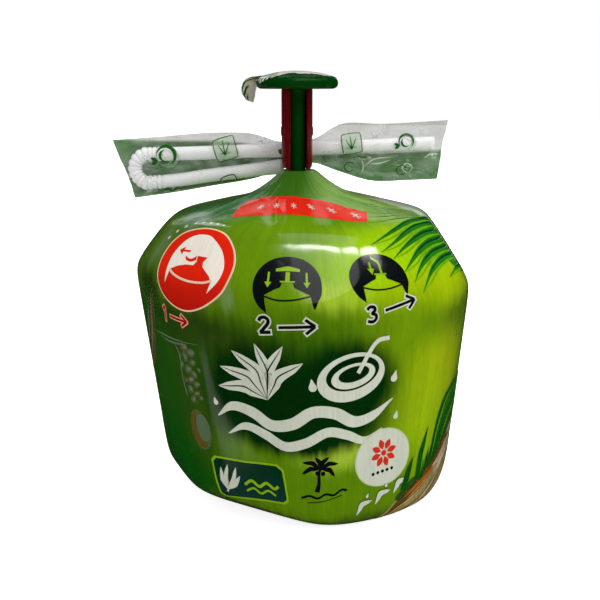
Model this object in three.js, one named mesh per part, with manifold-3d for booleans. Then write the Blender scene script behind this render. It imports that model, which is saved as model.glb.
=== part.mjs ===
// A trimmed drinking coconut in a printed shrink film. A mushroom-shaped plunger stands in its neck and
// opens the nut when it is pushed, a split safety collar holds the plunger up, and the clip at the back
// of the collar carries a bent straw in a clear sachet. Thin film lies over the plunger's disc.
// Millimetres, +Z up, front of the wrap towards -Y, origin at the middle of the flat foot.

import * as THREE from 'three';
import { mergeVertices } from 'three/addons/utils/BufferGeometryUtils.js';
import Module from 'manifold-3d';

const wasm = await Module();
wasm.setup();

// Clearance between pieces that touch
const GAP = 0.3;

// Coconut body. Every cut is a plane, or a cone all round, given by a point on it (radius from the axis
// and height) and by the tilt of its normal in degrees. Azimuths are degrees from the front, to the right.
const body = {
  centreHeight: 55, // the cuts are measured from this point of the axis
  sharpness: 48, // the higher, the crisper the edges between the cuts
  lean: 0.02, // sideways shift for each millimetre below the shoulder
  leanLevel: 80,
  footLevel: 0.05, // everything lower than this is pressed flat on the ground
};
const roundCuts = [
  { radius: 60.8, height: 80, tilt: -6.3 }, // side, narrower towards the foot
  { radius: 55.6, height: 90.2, tilt: 36.5 }, // shoulder
  { radius: 54, height: 4, tilt: -42 }, // edge of the foot
  { radius: 0, height: 0, tilt: -90 }, // foot
];
const roof = { radius: 45.5, height: 100.2, tilt: 76.5 };
const shoulderFacets = [
  { azimuth: -3, radius: 52.9, height: 89.6, tilt: 36.5 },
  { azimuth: 42, radius: 53, height: 88, tilt: 35 },
  { azimuth: 87, radius: 53.9, height: 85.5, tilt: 32 },
  { azimuth: 133, radius: 53, height: 88, tilt: 35 },
  { azimuth: 178, radius: 52.9, height: 89.6, tilt: 36.5 },
  { azimuth: -137, radius: 53, height: 91, tilt: 38 },
  { azimuth: -93, radius: 53.7, height: 92.2, tilt: 40 },
  { azimuth: -48, radius: 53.2, height: 91, tilt: 38.5 },
];
const sideFacets = [
  { azimuth: -62, radius: 58.8, height: 80, tilt: -6.3 },
  { azimuth: -20, radius: 58.8, height: 80, tilt: -6.3 },
  { azimuth: 24, radius: 59, height: 80, tilt: -6.3 },
  { azimuth: 66, radius: 59.4, height: 80, tilt: -6.3 },
  { azimuth: 110, radius: 59.6, height: 80, tilt: -6.3 },
  { azimuth: 150, radius: 58.8, height: 80, tilt: -6.3 },
  { azimuth: -170, radius: 58.6, height: 80, tilt: -6.3 },
  { azimuth: -130, radius: 58.9, height: 80, tilt: -6.3 },
  { azimuth: -97, radius: 60.2, height: 80, tilt: -6.3 },
];
const footFacets = [
  { azimuth: -70, radius: 46.8, height: 5, tilt: -46 },
  { azimuth: -32, radius: 43.2, height: 3.2, tilt: -54 },
  { azimuth: 10, radius: 52, height: 1.5, tilt: -50 },
  { azimuth: 42, radius: 50.6, height: 1, tilt: -45 },
  { azimuth: 85, radius: 53.2, height: 3, tilt: -40 },
  { azimuth: 130, radius: 51, height: 5, tilt: -42 },
  { azimuth: 178, radius: 50, height: 5, tilt: -44 },
  { azimuth: -130, radius: 49, height: 5, tilt: -46 },
];

// Neck: the film rises as a tent from the roof to a small flat top, gathered in pleats
const neck = {
  x: -2.5,
  height: 115,
  tentRise: 6,
  tentPower: 1.7,
  pleats: 16,
  pleatDepth: 0.045, // share of the radius
  socketDepth: 4,
};
const tentRadii = [5.2, 6.4, 8, 10, 12.5, 15.5, 19];

// Mesh of the body: points round each ring, and polar angles of the rings seen from the centre point
const BODY_SIDES = 88;
const ringAngles = [
  ...range(26, 44, 4),
  ...range(45.5, 68, 6),
  ...range(72, 122, 6),
  ...range(126, 138, 6),
  ...range(141, 153, 4),
];
const FOOT_MIDDLE = 3; // the fan of the foot starts a little behind the axis

// Plunger: a stem with a flare under a domed disc
const stem = { radius: 3, end: neck.height - neck.socketDepth + GAP, flareStart: 138.5, flareRadius: 4.6 };
const disc = { radius: 14.4, rim: 2, underside: 143.1, rise: 3.9 };
const PLUNGER_SIDES = 36;
const SECTION_DETAIL = 4; // steps along each arc of a turned section
const SLEEVE_DETAIL = 22; // steps round the collar's sleeve
const CORNER_DETAIL = 5; // steps round a small corner

// Safety collar: a split sleeve round the stem, with a clip behind it
const collar = {
  outerRadius: 5.45,
  slitWidth: 5.8,
  slitAzimuth: 8.6,
  bottom: neck.height + GAP,
  top: disc.underside - GAP - 0.2,
  cornerRadius: 2.2,
};
const clip = {
  start: 4.4, // distance behind the axis, inside the sleeve's back wall
  innerBack: 11.2,
  outerBack: 12.6,
  bridgeBottom: 126.5,
  bridgeTop: 130,
  bridgeWidth: 11.6,
  tongueBottom: 116,
  tongueWidth: 9,
  cornerRadius: 1.3,
};

// Straw sachet: cross-sections from the left seal to the right seal, each with its top and bottom point
// in the plane of the sachet and half its thickness
const sachet = {
  depth: 8.4, // distance behind the axis at the waist
  bow: 1.2,
  bowLength: 60,
  sealHalf: 0.3,
  fullness: 0.62,
  tension: 0.35,
  columns: 40,
  rows: 10,
};
const sachetSections = [
  { top: [-69.8, 124.9], bottom: [-62.3, 103.8], half: 0.3 },
  { top: [-62, 125.4], bottom: [-56, 104.7], half: 2.7 },
  { top: [-50, 126.3], bottom: [-47, 106], half: 3.3 },
  { top: [-35, 127.5], bottom: [-34, 108.3], half: 3.3 },
  { top: [-20, 127.4], bottom: [-19.5, 110.8], half: 3.1 },
  { top: [-9.6, 124.6], bottom: [-9, 114], half: 2.5 },
  { top: [-2.5, 124.2], bottom: [-2.5, 116.3], half: 2.4 },
  { top: [4, 125.6], bottom: [4.2, 116.6], half: 2.5 },
  { top: [14, 130.8], bottom: [13, 113.6], half: 3 },
  { top: [28, 130.7], bottom: [25, 110.2], half: 3.1 },
  { top: [41, 131.3], bottom: [38.5, 110.4], half: 2.8 },
  { top: [52.1, 132], bottom: [48.8, 110.8], half: 0.3 },
];

// Film over the disc: it follows the dome and hangs a little over the rim, with a tail at the left
const cover = { thickness: 0.45, lap: 0.9, wave: 0.55, waves: 7, sides: 49, rings: 6 };
const tail = {
  halfWidth: 4.8,
  turn: 36, // degrees about the vertical, from one share of the route to another
  turnStart: 0.1,
  turnEnd: 0.6,
  creaseDepth: 0.7,
  tipStart: 0.72,
  tipWidth: 0.45,
  columns: 6,
  rows: 10,
};
const tailRoute = [
  [-12.5, -0.8, 148.15],
  [-16.2, -1.2, 147.6],
  [-18.8, -1.7, 145.9],
  [-19.5, -2, 142.7],
  [-19, -2, 138.8],
];

const colours = {
  wrap: { color: 0x4f9416, roughness: 0.22, metalness: 0 },
  plunger: { color: 0x0a4d1e, roughness: 0.3, metalness: 0 },
  collar: { color: 0x8f0a12, roughness: 0.32, metalness: 0 },
  sachet: { color: 0xc9d6c8, roughness: 0.2, metalness: 0 },
  cover: { color: 0xe4e5dd, roughness: 0.35, metalness: 0 },
};

function range(first, last, count) {
  return Array.from({ length: count }, (_, i) => first + ((last - first) * i) / (count - 1));
}

function radians(degrees) {
  return THREE.MathUtils.degToRad(degrees);
}

// Flat direction at an azimuth: the front is -Y and the right is +X
function outward(azimuth) {
  return new THREE.Vector2(Math.sin(azimuth), -Math.cos(azimuth));
}

// Rings of points joined into one closed skin, with a fan at each end
function skinSolid(rings, firstCentre, lastCentre) {
  const sides = rings[0].length;
  const points = [...rings.flat(), firstCentre, lastCentre];
  const first = points.length - 2;
  const last = points.length - 1;
  const faces = [];
  for (let side = 0; side < sides; side++) {
    const next = (side + 1) % sides;
    faces.push(first, side, next);
    for (let ring = 0; ring < rings.length - 1; ring++) {
      const upper = ring * sides;
      const lower = upper + sides;
      faces.push(upper + side, lower + side, lower + next);
      faces.push(upper + side, lower + next, upper + next);
    }
    const end = (rings.length - 1) * sides;
    faces.push(end + side, last, end + next);
  }
  return indexedGeometry(points, faces);
}

// Two faces of a thin body, as grids of points with the same rows and columns, joined round the edge.
// Columns run to the right and rows run up, seen from in front of the front face.
function sheetSolid(front, back) {
  const rows = front.length;
  const columns = front[0].length;
  const points = [...front.flat(), ...back.flat()];
  const behind = rows * columns;
  const faces = [];
  const quad = (a, b, c, d) => faces.push(a, b, c, a, c, d);
  for (let row = 0; row < rows - 1; row++) {
    for (let column = 0; column < columns - 1; column++) {
      const low = row * columns + column;
      const high = low + columns;
      quad(low, low + 1, high + 1, high);
      quad(behind + low, behind + high, behind + high + 1, behind + low + 1);
    }
  }
  for (let column = 0; column < columns - 1; column++) {
    const top = (rows - 1) * columns + column;
    quad(column, behind + column, behind + column + 1, column + 1);
    quad(top, top + 1, behind + top + 1, behind + top);
  }
  for (let row = 0; row < rows - 1; row++) {
    const left = row * columns;
    const right = left + columns - 1;
    quad(left, left + columns, behind + left + columns, behind + left);
    quad(right, behind + right, behind + right + columns, right + columns);
  }
  return indexedGeometry(points, faces);
}

function indexedGeometry(points, faces) {
  const geometry = new THREE.BufferGeometry().setFromPoints(points);
  geometry.setIndex(faces);
  return geometry;
}

function toManifold(geometry) {
  const bare = geometry.clone();
  bare.deleteAttribute('normal');
  bare.deleteAttribute('uv');
  const merged = mergeVertices(bare, 1e-4);
  return new wasm.Manifold(
    new wasm.Mesh({
      numProp: 3,
      vertProperties: new Float32Array(merged.attributes.position.array),
      triVerts: new Uint32Array(merged.index.array),
    }),
  );
}

function fromManifold(solid) {
  const mesh = solid.getMesh();
  const geometry = new THREE.BufferGeometry();
  geometry.setAttribute('position', new THREE.BufferAttribute(mesh.vertProperties, 3));
  geometry.setIndex(new THREE.BufferAttribute(mesh.triVerts, 1));
  return geometry;
}

function namedMesh(name, geometry, look) {
  geometry.computeVertexNormals();
  const mesh = new THREE.Mesh(geometry, new THREE.MeshStandardMaterial(look));
  mesh.name = name;
  return mesh;
}

// Distance of a cut from the centre point, with its normal as an outward part and an upward part
function cutPlane({ azimuth, radius, height, tilt }) {
  const across = Math.cos(radians(tilt));
  const up = Math.sin(radians(tilt));
  const distance = across * radius + up * (height - body.centreHeight);
  return { across, up, distance, heading: azimuth === undefined ? null : outward(radians(azimuth)) };
}

const cuts = [...roundCuts, roof, ...shoulderFacets, ...sideFacets, ...footFacets].map(cutPlane);

// Point of the trimmed nut in a direction from the centre point: the nearest cut wins, and the high
// power of the sum rounds the edge where two cuts meet
function trimmedPoint(azimuth, polar) {
  const heading = outward(azimuth);
  const flat = Math.sin(polar);
  const up = Math.cos(polar);
  let sum = 0;
  for (const cut of cuts) {
    const facing = cut.heading ? heading.dot(cut.heading) : 1;
    const reach = (flat * facing * cut.across + up * cut.up) / cut.distance;
    sum += Math.max(0, reach) ** body.sharpness;
  }
  const distance = sum ** (-1 / body.sharpness);
  const height = body.centreHeight + up * distance;
  const shift = (body.leanLevel - height) * body.lean;
  const rest = height < body.footLevel ? 0 : height;
  return new THREE.Vector3(heading.x * flat * distance + shift, heading.y * flat * distance, rest);
}

function tentPoint(azimuth, radius) {
  const widest = tentRadii[tentRadii.length - 1];
  const climb = (widest - radius) / (widest - tentRadii[0]);
  const pleat = 1 + neck.pleatDepth * climb * Math.cos(neck.pleats * azimuth);
  const heading = outward(azimuth).multiplyScalar(radius * pleat);
  const x = neck.x + heading.x;
  const slope = Math.tan(radians(90 - roof.tilt));
  const roofLevel = roof.height + (roof.radius - Math.hypot(x, heading.y)) * slope;
  const lifted = roofLevel + neck.tentRise * climb ** neck.tentPower;
  const level = radius === tentRadii[0] ? neck.height : Math.min(neck.height, lifted);
  return new THREE.Vector3(x, heading.y, level);
}

function ringOf(pointAt) {
  return range(0, 2 * Math.PI, BODY_SIDES + 1).slice(0, -1).map(pointAt);
}

function wrappedCoconut() {
  const socketRadius = stem.radius + GAP;
  const socketFloor = neck.height - neck.socketDepth;
  const socketRing = (height) =>
    ringOf((azimuth) => {
      const heading = outward(azimuth).multiplyScalar(socketRadius);
      return new THREE.Vector3(neck.x + heading.x, heading.y, height);
    });
  const rings = [
    socketRing(socketFloor),
    socketRing(neck.height),
    ...tentRadii.map((radius) => ringOf((azimuth) => tentPoint(azimuth, radius))),
    ...ringAngles.map((angle) => ringOf((azimuth) => trimmedPoint(azimuth, radians(angle)))),
  ];
  const footMiddle = new THREE.Vector3(body.leanLevel * body.lean, FOOT_MIDDLE, 0);
  return skinSolid(rings, new THREE.Vector3(neck.x, 0, socketFloor), footMiddle);
}

// The disc's section: the rim is a small arc, and the dome is a large arc that meets it smoothly
const rimCentre = new THREE.Vector2(disc.radius - disc.rim, disc.underside + disc.rim);
const domeRadius = (rimCentre.x ** 2 + disc.rise ** 2 - disc.rim ** 2) / (2 * (disc.rise - disc.rim));
const domeCentre = rimCentre.y + disc.rise - domeRadius;
const meetingAngle = Math.atan2(rimCentre.y - domeCentre, rimCentre.x);

// Section of the stem and its flare, grown by a clearance, from the axis to the end of the flare
function stemSection(grow) {
  const { radius, end, flareStart, flareRadius } = stem;
  const flareRise = disc.underside - flareStart;
  const section = new THREE.Path();
  section.moveTo(0, end - grow);
  section.lineTo(radius + grow, end - grow);
  section.lineTo(radius + grow, flareStart - grow);
  section.absellipse(
    flareRadius + grow, flareStart - grow, flareRadius - radius, flareRise, Math.PI, Math.PI / 2, true,
  );
  return section;
}

function turned(section) {
  const geometry = new THREE.LatheGeometry(section.getPoints(SECTION_DETAIL), PLUNGER_SIDES);
  return geometry.rotateX(Math.PI / 2);
}

function pressPlunger() {
  const section = stemSection(0);
  section.absarc(rimCentre.x, rimCentre.y, disc.rim, -Math.PI / 2, meetingAngle, false);
  section.absarc(0, domeCentre, domeRadius, meetingAngle, Math.PI / 2, false);
  return turned(section);
}

// What the collar's bore has to leave free
function plungerClearance() {
  const section = stemSection(GAP);
  section.lineTo(0, disc.underside - GAP);
  return toManifold(turned(section));
}

// A shape drawn in a plane and pushed out to a depth, as a solid
function extruded(shape, depth, curveSegments) {
  return new THREE.ExtrudeGeometry(shape, { depth, bevelEnabled: false, curveSegments });
}

function collarSleeve() {
  const slit = radians(collar.slitAzimuth - 90);
  const bore = stem.radius + GAP;
  const outerHalf = Math.asin(collar.slitWidth / 2 / collar.outerRadius);
  const innerHalf = Math.asin(collar.slitWidth / 2 / bore);
  const turn = 2 * Math.PI;
  const shape = new THREE.Shape();
  shape.absarc(0, 0, collar.outerRadius, slit + outerHalf, slit + turn - outerHalf, false);
  shape.absarc(0, 0, bore, slit + turn - innerHalf, slit + innerHalf, true);
  const geometry = extruded(shape, collar.top - collar.bottom, SLEEVE_DETAIL);
  geometry.translate(0, 0, collar.bottom);
  return toManifold(geometry);
}

// Outline of the collar seen from the front, with its lower corners rounded
function collarOutline() {
  const side = collar.outerRadius + 1;
  const round = collar.cornerRadius;
  const { bottom, outerRadius } = collar;
  const shape = new THREE.Shape();
  shape.moveTo(side, collar.top + 1);
  shape.lineTo(-side, collar.top + 1);
  shape.lineTo(-side, bottom + round);
  shape.lineTo(-outerRadius, bottom + round);
  shape.absarc(-outerRadius + round, bottom + round, round, Math.PI, 1.5 * Math.PI, false);
  shape.absarc(outerRadius - round, bottom + round, round, 1.5 * Math.PI, 2 * Math.PI, false);
  shape.lineTo(side, bottom + round);
  const geometry = extruded(shape, 2 * side, CORNER_DETAIL);
  geometry.rotateX(Math.PI / 2);
  geometry.translate(0, side, 0);
  return toManifold(geometry);
}

// A block of the clip: an outline behind the axis, (distance back, height), pushed out across the width
function clipBlock(outline, width) {
  const geometry = extruded(outline, width, CORNER_DETAIL);
  geometry.rotateY(Math.PI / 2);
  geometry.rotateX(Math.PI / 2);
  geometry.translate(-width / 2, 0, 0);
  return toManifold(geometry);
}

function collarClip() {
  const { start, innerBack, outerBack, bridgeBottom, bridgeTop, tongueBottom, cornerRadius } = clip;
  const bridge = new THREE.Shape();
  bridge.moveTo(start, bridgeBottom);
  bridge.lineTo(outerBack, bridgeBottom);
  bridge.absarc(outerBack - cornerRadius, bridgeTop - cornerRadius, cornerRadius, 0, Math.PI / 2, false);
  bridge.lineTo(start, bridgeTop);
  const tipRadius = (outerBack - innerBack) / 2;
  const tongue = new THREE.Shape();
  tongue.moveTo(outerBack, bridgeBottom + cornerRadius);
  tongue.lineTo(innerBack, bridgeBottom + cornerRadius);
  tongue.absarc(innerBack + tipRadius, tongueBottom + tipRadius, tipRadius, Math.PI, 2 * Math.PI, false);
  return clipBlock(bridge, clip.bridgeWidth).add(clipBlock(tongue, clip.tongueWidth));
}

function safetyCollar() {
  const sleeve = collarSleeve().intersect(collarOutline());
  return fromManifold(sleeve.add(collarClip()).subtract(plungerClearance()));
}

function strawSachet() {
  const edge = (key) => new THREE.CatmullRomCurve3(
    sachetSections.map((section) => new THREE.Vector3(section[key][0], section.half, section[key][1])),
    false,
    'catmullrom',
    sachet.tension,
  );
  const topEdge = edge('top');
  const bottomEdge = edge('bottom');
  const face = (side) => range(0, 1, sachet.rows + 1).map((rise) =>
    range(0, 1, sachet.columns + 1).map((along) => {
      const top = topEdge.getPoint(along);
      const bottom = bottomEdge.getPoint(along);
      const point = bottom.lerp(top, rise);
      const fullness = Math.sin(Math.PI * rise) ** sachet.fullness;
      const half = sachet.sealHalf + (point.y - sachet.sealHalf) * fullness;
      const bow = sachet.bow * ((point.x - neck.x) / sachet.bowLength) ** 2;
      return new THREE.Vector3(point.x, sachet.depth + bow + side * half, point.z);
    }),
  );
  return sheetSolid(face(-1), face(1));
}

// Point on the disc's section pushed out by an offset, at a length along the section from its apex
function discTopPoint(azimuth, length, offset) {
  const domeLength = domeRadius * (Math.PI / 2 - meetingAngle);
  let radius;
  let height;
  if (length < domeLength) {
    const angle = Math.PI / 2 - length / domeRadius;
    radius = (domeRadius + offset) * Math.cos(angle);
    height = domeCentre + (domeRadius + offset) * Math.sin(angle);
  } else {
    const angle = meetingAngle - (length - domeLength) / disc.rim;
    radius = rimCentre.x + (disc.rim + offset) * Math.cos(angle);
    height = rimCentre.y + (disc.rim + offset) * Math.sin(angle);
  }
  const heading = outward(azimuth).multiplyScalar(radius);
  return new THREE.Vector3(neck.x + heading.x, heading.y, height);
}

function coverSheet() {
  const edgeLength = domeRadius * (Math.PI / 2 - meetingAngle) + cover.lap;
  const ring = (share, offset) => range(0, 2 * Math.PI, cover.sides + 1).slice(0, -1).map((azimuth) => {
    const length = edgeLength + cover.wave * Math.sin(cover.waves * azimuth + Math.sin(azimuth));
    return discTopPoint(azimuth, share * length, offset);
  });
  const shares = range(1 / cover.rings, 1, cover.rings);
  const outer = GAP + cover.thickness;
  const rings = [
    ...shares.map((share) => ring(share, outer)),
    ...shares.toReversed().map((share) => ring(share, GAP)),
  ];
  return skinSolid(rings, discTopPoint(0, 0, outer), discTopPoint(0, 0, GAP));
}

// The tail leaves the cover at the left, folds over the rim, and turns as it hangs
function coverTail() {
  const route = new THREE.CatmullRomCurve3(tailRoute.map((point) => new THREE.Vector3(...point)));
  const face = (side) => range(0, 1, tail.rows + 1).map((down) =>
    range(-1, 1, tail.columns + 1).map((across) => {
      const point = route.getPoint(down);
      const direction = route.getTangent(down);
      const turn = radians(tail.turn) * THREE.MathUtils.smoothstep(down, tail.turnStart, tail.turnEnd);
      const width = new THREE.Vector3(-Math.sin(turn), Math.cos(turn), 0);
      const normal = new THREE.Vector3().crossVectors(direction, width).normalize();
      const tip = Math.max(0, down - tail.tipStart) / (1 - tail.tipStart);
      const half = tail.halfWidth * (1 - (1 - tail.tipWidth) * tip ** 2);
      const crease = tail.creaseDepth * (1 - Math.abs(across)) * down;
      const offset = crease + (side * cover.thickness) / 2;
      return point.addScaledVector(width, -across * half).addScaledVector(normal, -offset);
    }),
  );
  return sheetSolid(face(-1), face(1));
}

function discCover() {
  return fromManifold(toManifold(coverSheet()).add(toManifold(coverTail())));
}

const coconut = new THREE.Group();
coconut.add(namedMesh('wrapped_coconut', wrappedCoconut(), colours.wrap));

// What stands on the neck's axis
const topParts = new THREE.Group();
topParts.position.x = neck.x;
topParts.add(namedMesh('press_plunger', pressPlunger(), colours.plunger));
topParts.add(namedMesh('safety_collar', safetyCollar(), colours.collar));
coconut.add(topParts);

coconut.add(namedMesh('straw_sachet', strawSachet(), colours.sachet));
coconut.add(namedMesh('disc_cover', discCover(), colours.cover));

export default coconut;
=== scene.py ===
# %% [markdown]
# A trimmed young coconut, ready to drink, in printed shrink film. A green plunger in its neck opens it,
# a red split collar keeps the plunger up, and a bent straw waits in a clear sachet behind the collar.
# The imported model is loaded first, because every piece that is made here sits where its bodies are.

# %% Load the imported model
import math

import bmesh
import bpy
import numpy as np
from mathutils import Matrix, Vector


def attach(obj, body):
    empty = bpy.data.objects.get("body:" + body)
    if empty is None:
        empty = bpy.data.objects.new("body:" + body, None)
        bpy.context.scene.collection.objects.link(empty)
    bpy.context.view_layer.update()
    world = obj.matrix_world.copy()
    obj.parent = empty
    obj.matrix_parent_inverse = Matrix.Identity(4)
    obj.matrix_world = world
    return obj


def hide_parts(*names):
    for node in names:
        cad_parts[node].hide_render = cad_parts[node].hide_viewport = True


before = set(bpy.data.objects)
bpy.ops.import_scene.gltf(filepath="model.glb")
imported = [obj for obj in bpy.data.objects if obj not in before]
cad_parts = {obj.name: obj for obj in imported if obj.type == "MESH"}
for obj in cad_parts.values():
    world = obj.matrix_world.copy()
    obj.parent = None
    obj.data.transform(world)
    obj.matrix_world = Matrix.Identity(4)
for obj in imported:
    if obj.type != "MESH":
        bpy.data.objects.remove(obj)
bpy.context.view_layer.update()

ROOT = "root"
MM = 0.001
print("nodes of the packed model:", sorted(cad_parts))

# %% [markdown]
# The camera stands where the photographer stood: a hand's breadth over the roof of the coconut, a little
# more than two coconuts away, looking down by about thirteen degrees. It was fitted to the outline of the
# body, so the two pictures can be laid over each other.

# %% Camera
CAMERA_PLACE = (-1.44, -328.03, 144.96)   # mm
CAMERA_TILT = 76.68                       # degrees up from straight down
CAMERA_LENS, CAMERA_SENSOR = 54.918, 36.0  # mm
NEAREST_SEEN = 0.01                       # m

camera_data = bpy.data.cameras.new("camera")
camera_data.lens = CAMERA_LENS
camera_data.sensor_width = CAMERA_SENSOR
camera_data.clip_start = NEAREST_SEEN
camera = bpy.data.objects.new("camera", camera_data)
camera.location = Vector(CAMERA_PLACE) * MM
camera.rotation_euler = (math.radians(CAMERA_TILT), 0.0, 0.0)
bpy.context.collection.objects.link(camera)
bpy.context.scene.camera = camera
bpy.context.scene.view_settings.view_transform = "Standard"
print("camera at", [round(value, 3) for value in camera.location], "m")

# %% [markdown]
# Materials are node trees. A few small helpers keep the cells short. The first ones add a node or a group
# and set or link its sockets, so that a step of a material fits on one line.

# %% Helpers for nodes and groups
def set_sockets(tree, node, sockets):
    """A number or a colour is written into its socket, the output of another node is linked to it."""
    for socket, value in sockets.items():
        if isinstance(value, bpy.types.NodeSocket):
            tree.links.new(value, node.inputs[socket])
        else:
            node.inputs[socket].default_value = value
    return node


def add_node(tree, kind, sockets=None, **settings):
    made = tree.nodes.new("ShaderNode" + kind)
    for name, value in settings.items():
        setattr(made, name, value)
    return set_sockets(tree, made, sockets or {})


def open_group(name, inputs, outputs):
    """A new node group: its tree, the values that it is given, and the node that takes its results."""
    group = bpy.data.node_groups.new(name, "ShaderNodeTree")
    for label, kind, start in inputs:
        socket = group.interface.new_socket(label, in_out="INPUT", socket_type="NodeSocket" + kind)
        if start is not None:
            socket.default_value = start
    for label, kind in outputs:
        group.interface.new_socket(label, in_out="OUTPUT", socket_type="NodeSocket" + kind)
    return group, group.nodes.new("NodeGroupInput").outputs, group.nodes.new("NodeGroupOutput")


def use_group(tree, group, sockets):
    made = tree.nodes.new("ShaderNodeGroup")
    made.node_tree = group
    return set_sockets(tree, made, sockets)


def new_material(name, **surface):
    """A material with one Principled BSDF, its tree and that node, on which the values are set."""
    material = bpy.data.materials.new(name)
    material.use_nodes = True
    tree = material.node_tree
    shader = tree.nodes["Principled BSDF"]
    set_sockets(tree, shader, {label.replace("_", " "): value for label, value in surface.items()})
    return material, tree, shader


print("the helpers for nodes and groups are ready")

# %% [markdown]
# The next helpers are the steps that nearly every material takes: a sum, a change of range, a noise, a mix
# of two colours, a bump. Each adds one node and gives back its output, ready for the next step.

# %% Helpers for the steps of a material
def maths(tree, operation, *values, **settings):
    return add_node(tree, "Math", dict(enumerate(values)), operation=operation, **settings).outputs[0]


def vector_maths(tree, operation, *values):
    return add_node(tree, "VectorMath", dict(enumerate(values)), operation=operation).outputs[0]


def remap(tree, value, old=(0, 1), new=(0, 1), **settings):
    """Moves a value from one range to another and stops at its ends."""
    return add_node(tree, "MapRange", {
        "Value": value, "From Min": old[0], "From Max": old[1], "To Min": new[0], "To Max": new[1],
    }, **settings).outputs["Result"]


def noise(tree, place, scale=1.0, detail=2.0, distortion=0.0):
    """Clouds from 0 to 1. A place that is stretched already keeps the scale of 1."""
    return add_node(tree, "TexNoise", {
        "Vector": place, "Scale": scale, "Detail": detail, "Distortion": distortion,
    }).outputs["Fac"]


def stretched(tree, place, scale=(1, 1, 1), turn=0.0):
    """A place stretched along its axes and turned in the sheet. The turn is in degrees."""
    return add_node(tree, "Mapping", {
        "Vector": place, "Scale": scale, "Rotation": (0, 0, math.radians(turn)),
    }).outputs[0]


def mix_colours(tree, share, first, second):
    """The first colour where the share is 0, the second where it is 1."""
    return add_node(tree, "Mix", {"Factor": share, 6: first, 7: second}, data_type="RGBA").outputs[2]


def lighten(tree, paint, share):
    """A colour times a number."""
    return add_node(tree, "VectorMath", {0: paint, "Scale": share}, operation="SCALE").outputs[0]


def add_bump(tree, shader, height, distance):
    """Lets the light see a relief. The distance, in m, is what a height of 1 stands for."""
    bump = add_node(tree, "Bump", {"Height": height, "Distance": distance})
    tree.links.new(bump.outputs["Normal"], shader.inputs["Normal"])


def colour(red, green, blue):
    """A colour as a paint program shows it, 0 to 255, as the linear numbers that shaders use."""
    linear = []
    for level in (red, green, blue):
        share = level / 255
        linear.append(share / 12.92 if share < 0.04045 else ((share + 0.055) / 1.055) ** 2.4)
    return (*linear, 1.0)


print("a middle grey for a shader:", round(colour(128, 128, 128)[0], 3))

# %% [markdown]
# The studio is plain: a pale floor, a white room, soft panels of light. Glossy film shows the room as
# much as its own colour, so what it mirrors is chosen with care. The room is dim, which keeps the inks
# deep, and holds a few bright windows. They hang on two flat walls far away, the ceiling and the wall
# behind the coconut, so one small group can draw each of them as a soft rectangle.

# %% A soft rectangle on a far wall, as a group
soft_window, given, result = open_group(
    "soft_window",
    [("Place", "Vector", None), ("Middle", "Vector", (0, 0, 0)), ("Reach", "Vector", (1, 1, 1)),
     ("Turn", "Float", 0.0), ("Softness", "Float", 0.1), ("Strength", "Float", 1.0)],
    [("Value", "Float")],
)
offset = vector_maths(soft_window, "SUBTRACT", given["Place"], given["Middle"])
turned = add_node(soft_window, "VectorRotate", {"Vector": offset, "Angle": given["Turn"]},
                  rotation_type="Z_AXIS").outputs[0]
scaled = vector_maths(soft_window, "DIVIDE", turned, given["Reach"])
sides = add_node(soft_window, "SeparateXYZ", {"Vector": vector_maths(soft_window, "ABSOLUTE", scaled)})
farther = maths(soft_window, "MAXIMUM", sides.outputs["X"], sides.outputs["Y"])
inner = maths(soft_window, "SUBTRACT", 1.0, given["Softness"])
mask = remap(soft_window, farther, (inner, 1.0), (1.0, 0.0), interpolation_type="SMOOTHSTEP")
set_sockets(soft_window, result, {"Value": maths(soft_window, "MULTIPLY", mask, given["Strength"])})
print("soft_window:", len(soft_window.nodes), "nodes")


def light_windows(tree, place, windows, start):
    """Adds soft rectangles: name, middle, reach, turn in degrees, softness and strength of each."""
    total = start
    for name, middle, reach, turn, softness, strength in windows:
        window = use_group(tree, soft_window, {
            "Place": place, "Middle": (*middle, 0), "Reach": (*reach, 1), "Turn": math.radians(-turn),
            "Softness": softness, "Strength": strength,
        })
        window.label = name
        total = maths(tree, "ADD", total, window.outputs["Value"])
    return total


# %% [markdown]
# The world gives three answers. The camera sees plain white. Diffuse light comes evenly from all sides.
# Gloss sees the dim room with its windows. A direction divided by its height is a place on the ceiling,
# and divided by its depth it is a place on the wall behind.

# %% World
WALL_WHITE = 1.0
ROOM_FILL = 0.5         # light that comes from all sides
MIRROR_DIM = 0.012      # what gloss mirrors where there is no window
NEARLY_LEVEL = 0.01     # a direction under this misses the wall
WHITE = (1, 1, 1, 1)
CEILING_WINDOWS = [
    ("window over the front", (0.24, -0.75), (0.36, 0.92), 0, 0.05, 1.3),
    ("lamp, left part", (0.03, -0.44), (0.17, 0.03), 0, 0.5, 28.0),
    ("lamp, middle part", (0.44, -0.32), (0.29, 0.03), 24, 0.4, 28.0),
    ("lamp, right part", (0.98, 0.0), (0.36, 0.03), 38, 0.4, 26.0),
]
BACK_WINDOWS = [
    ("left window", (-0.45, 0.58), (0.14, 0.28), 0, 0.2, 2.2),
    ("left bar", (-0.115, 0.7), (0.012, 0.32), 0, 0.5, 0.9),
    ("middle bar", (-0.075, 0.72), (0.014, 0.36), 0, 0.5, 0.8),
    ("right bar", (0.065, 0.72), (0.03, 0.36), 0, 0.6, 0.5),
    ("low right window", (0.2, 0.13), (0.08, 0.08), 0, 0.5, 0.45),
    ("low back window", (0.25, 0.02), (0.35, 0.06), 0, 0.5, 0.3),
]

world = bpy.data.worlds.new("studio")
bpy.context.scene.world = world
world.use_nodes = True
sky = world.node_tree
sky.nodes.clear()
direction = add_node(sky, "TexCoord").outputs["Generated"]
x, y, z = add_node(sky, "SeparateXYZ", {"Vector": direction}).outputs


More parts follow.
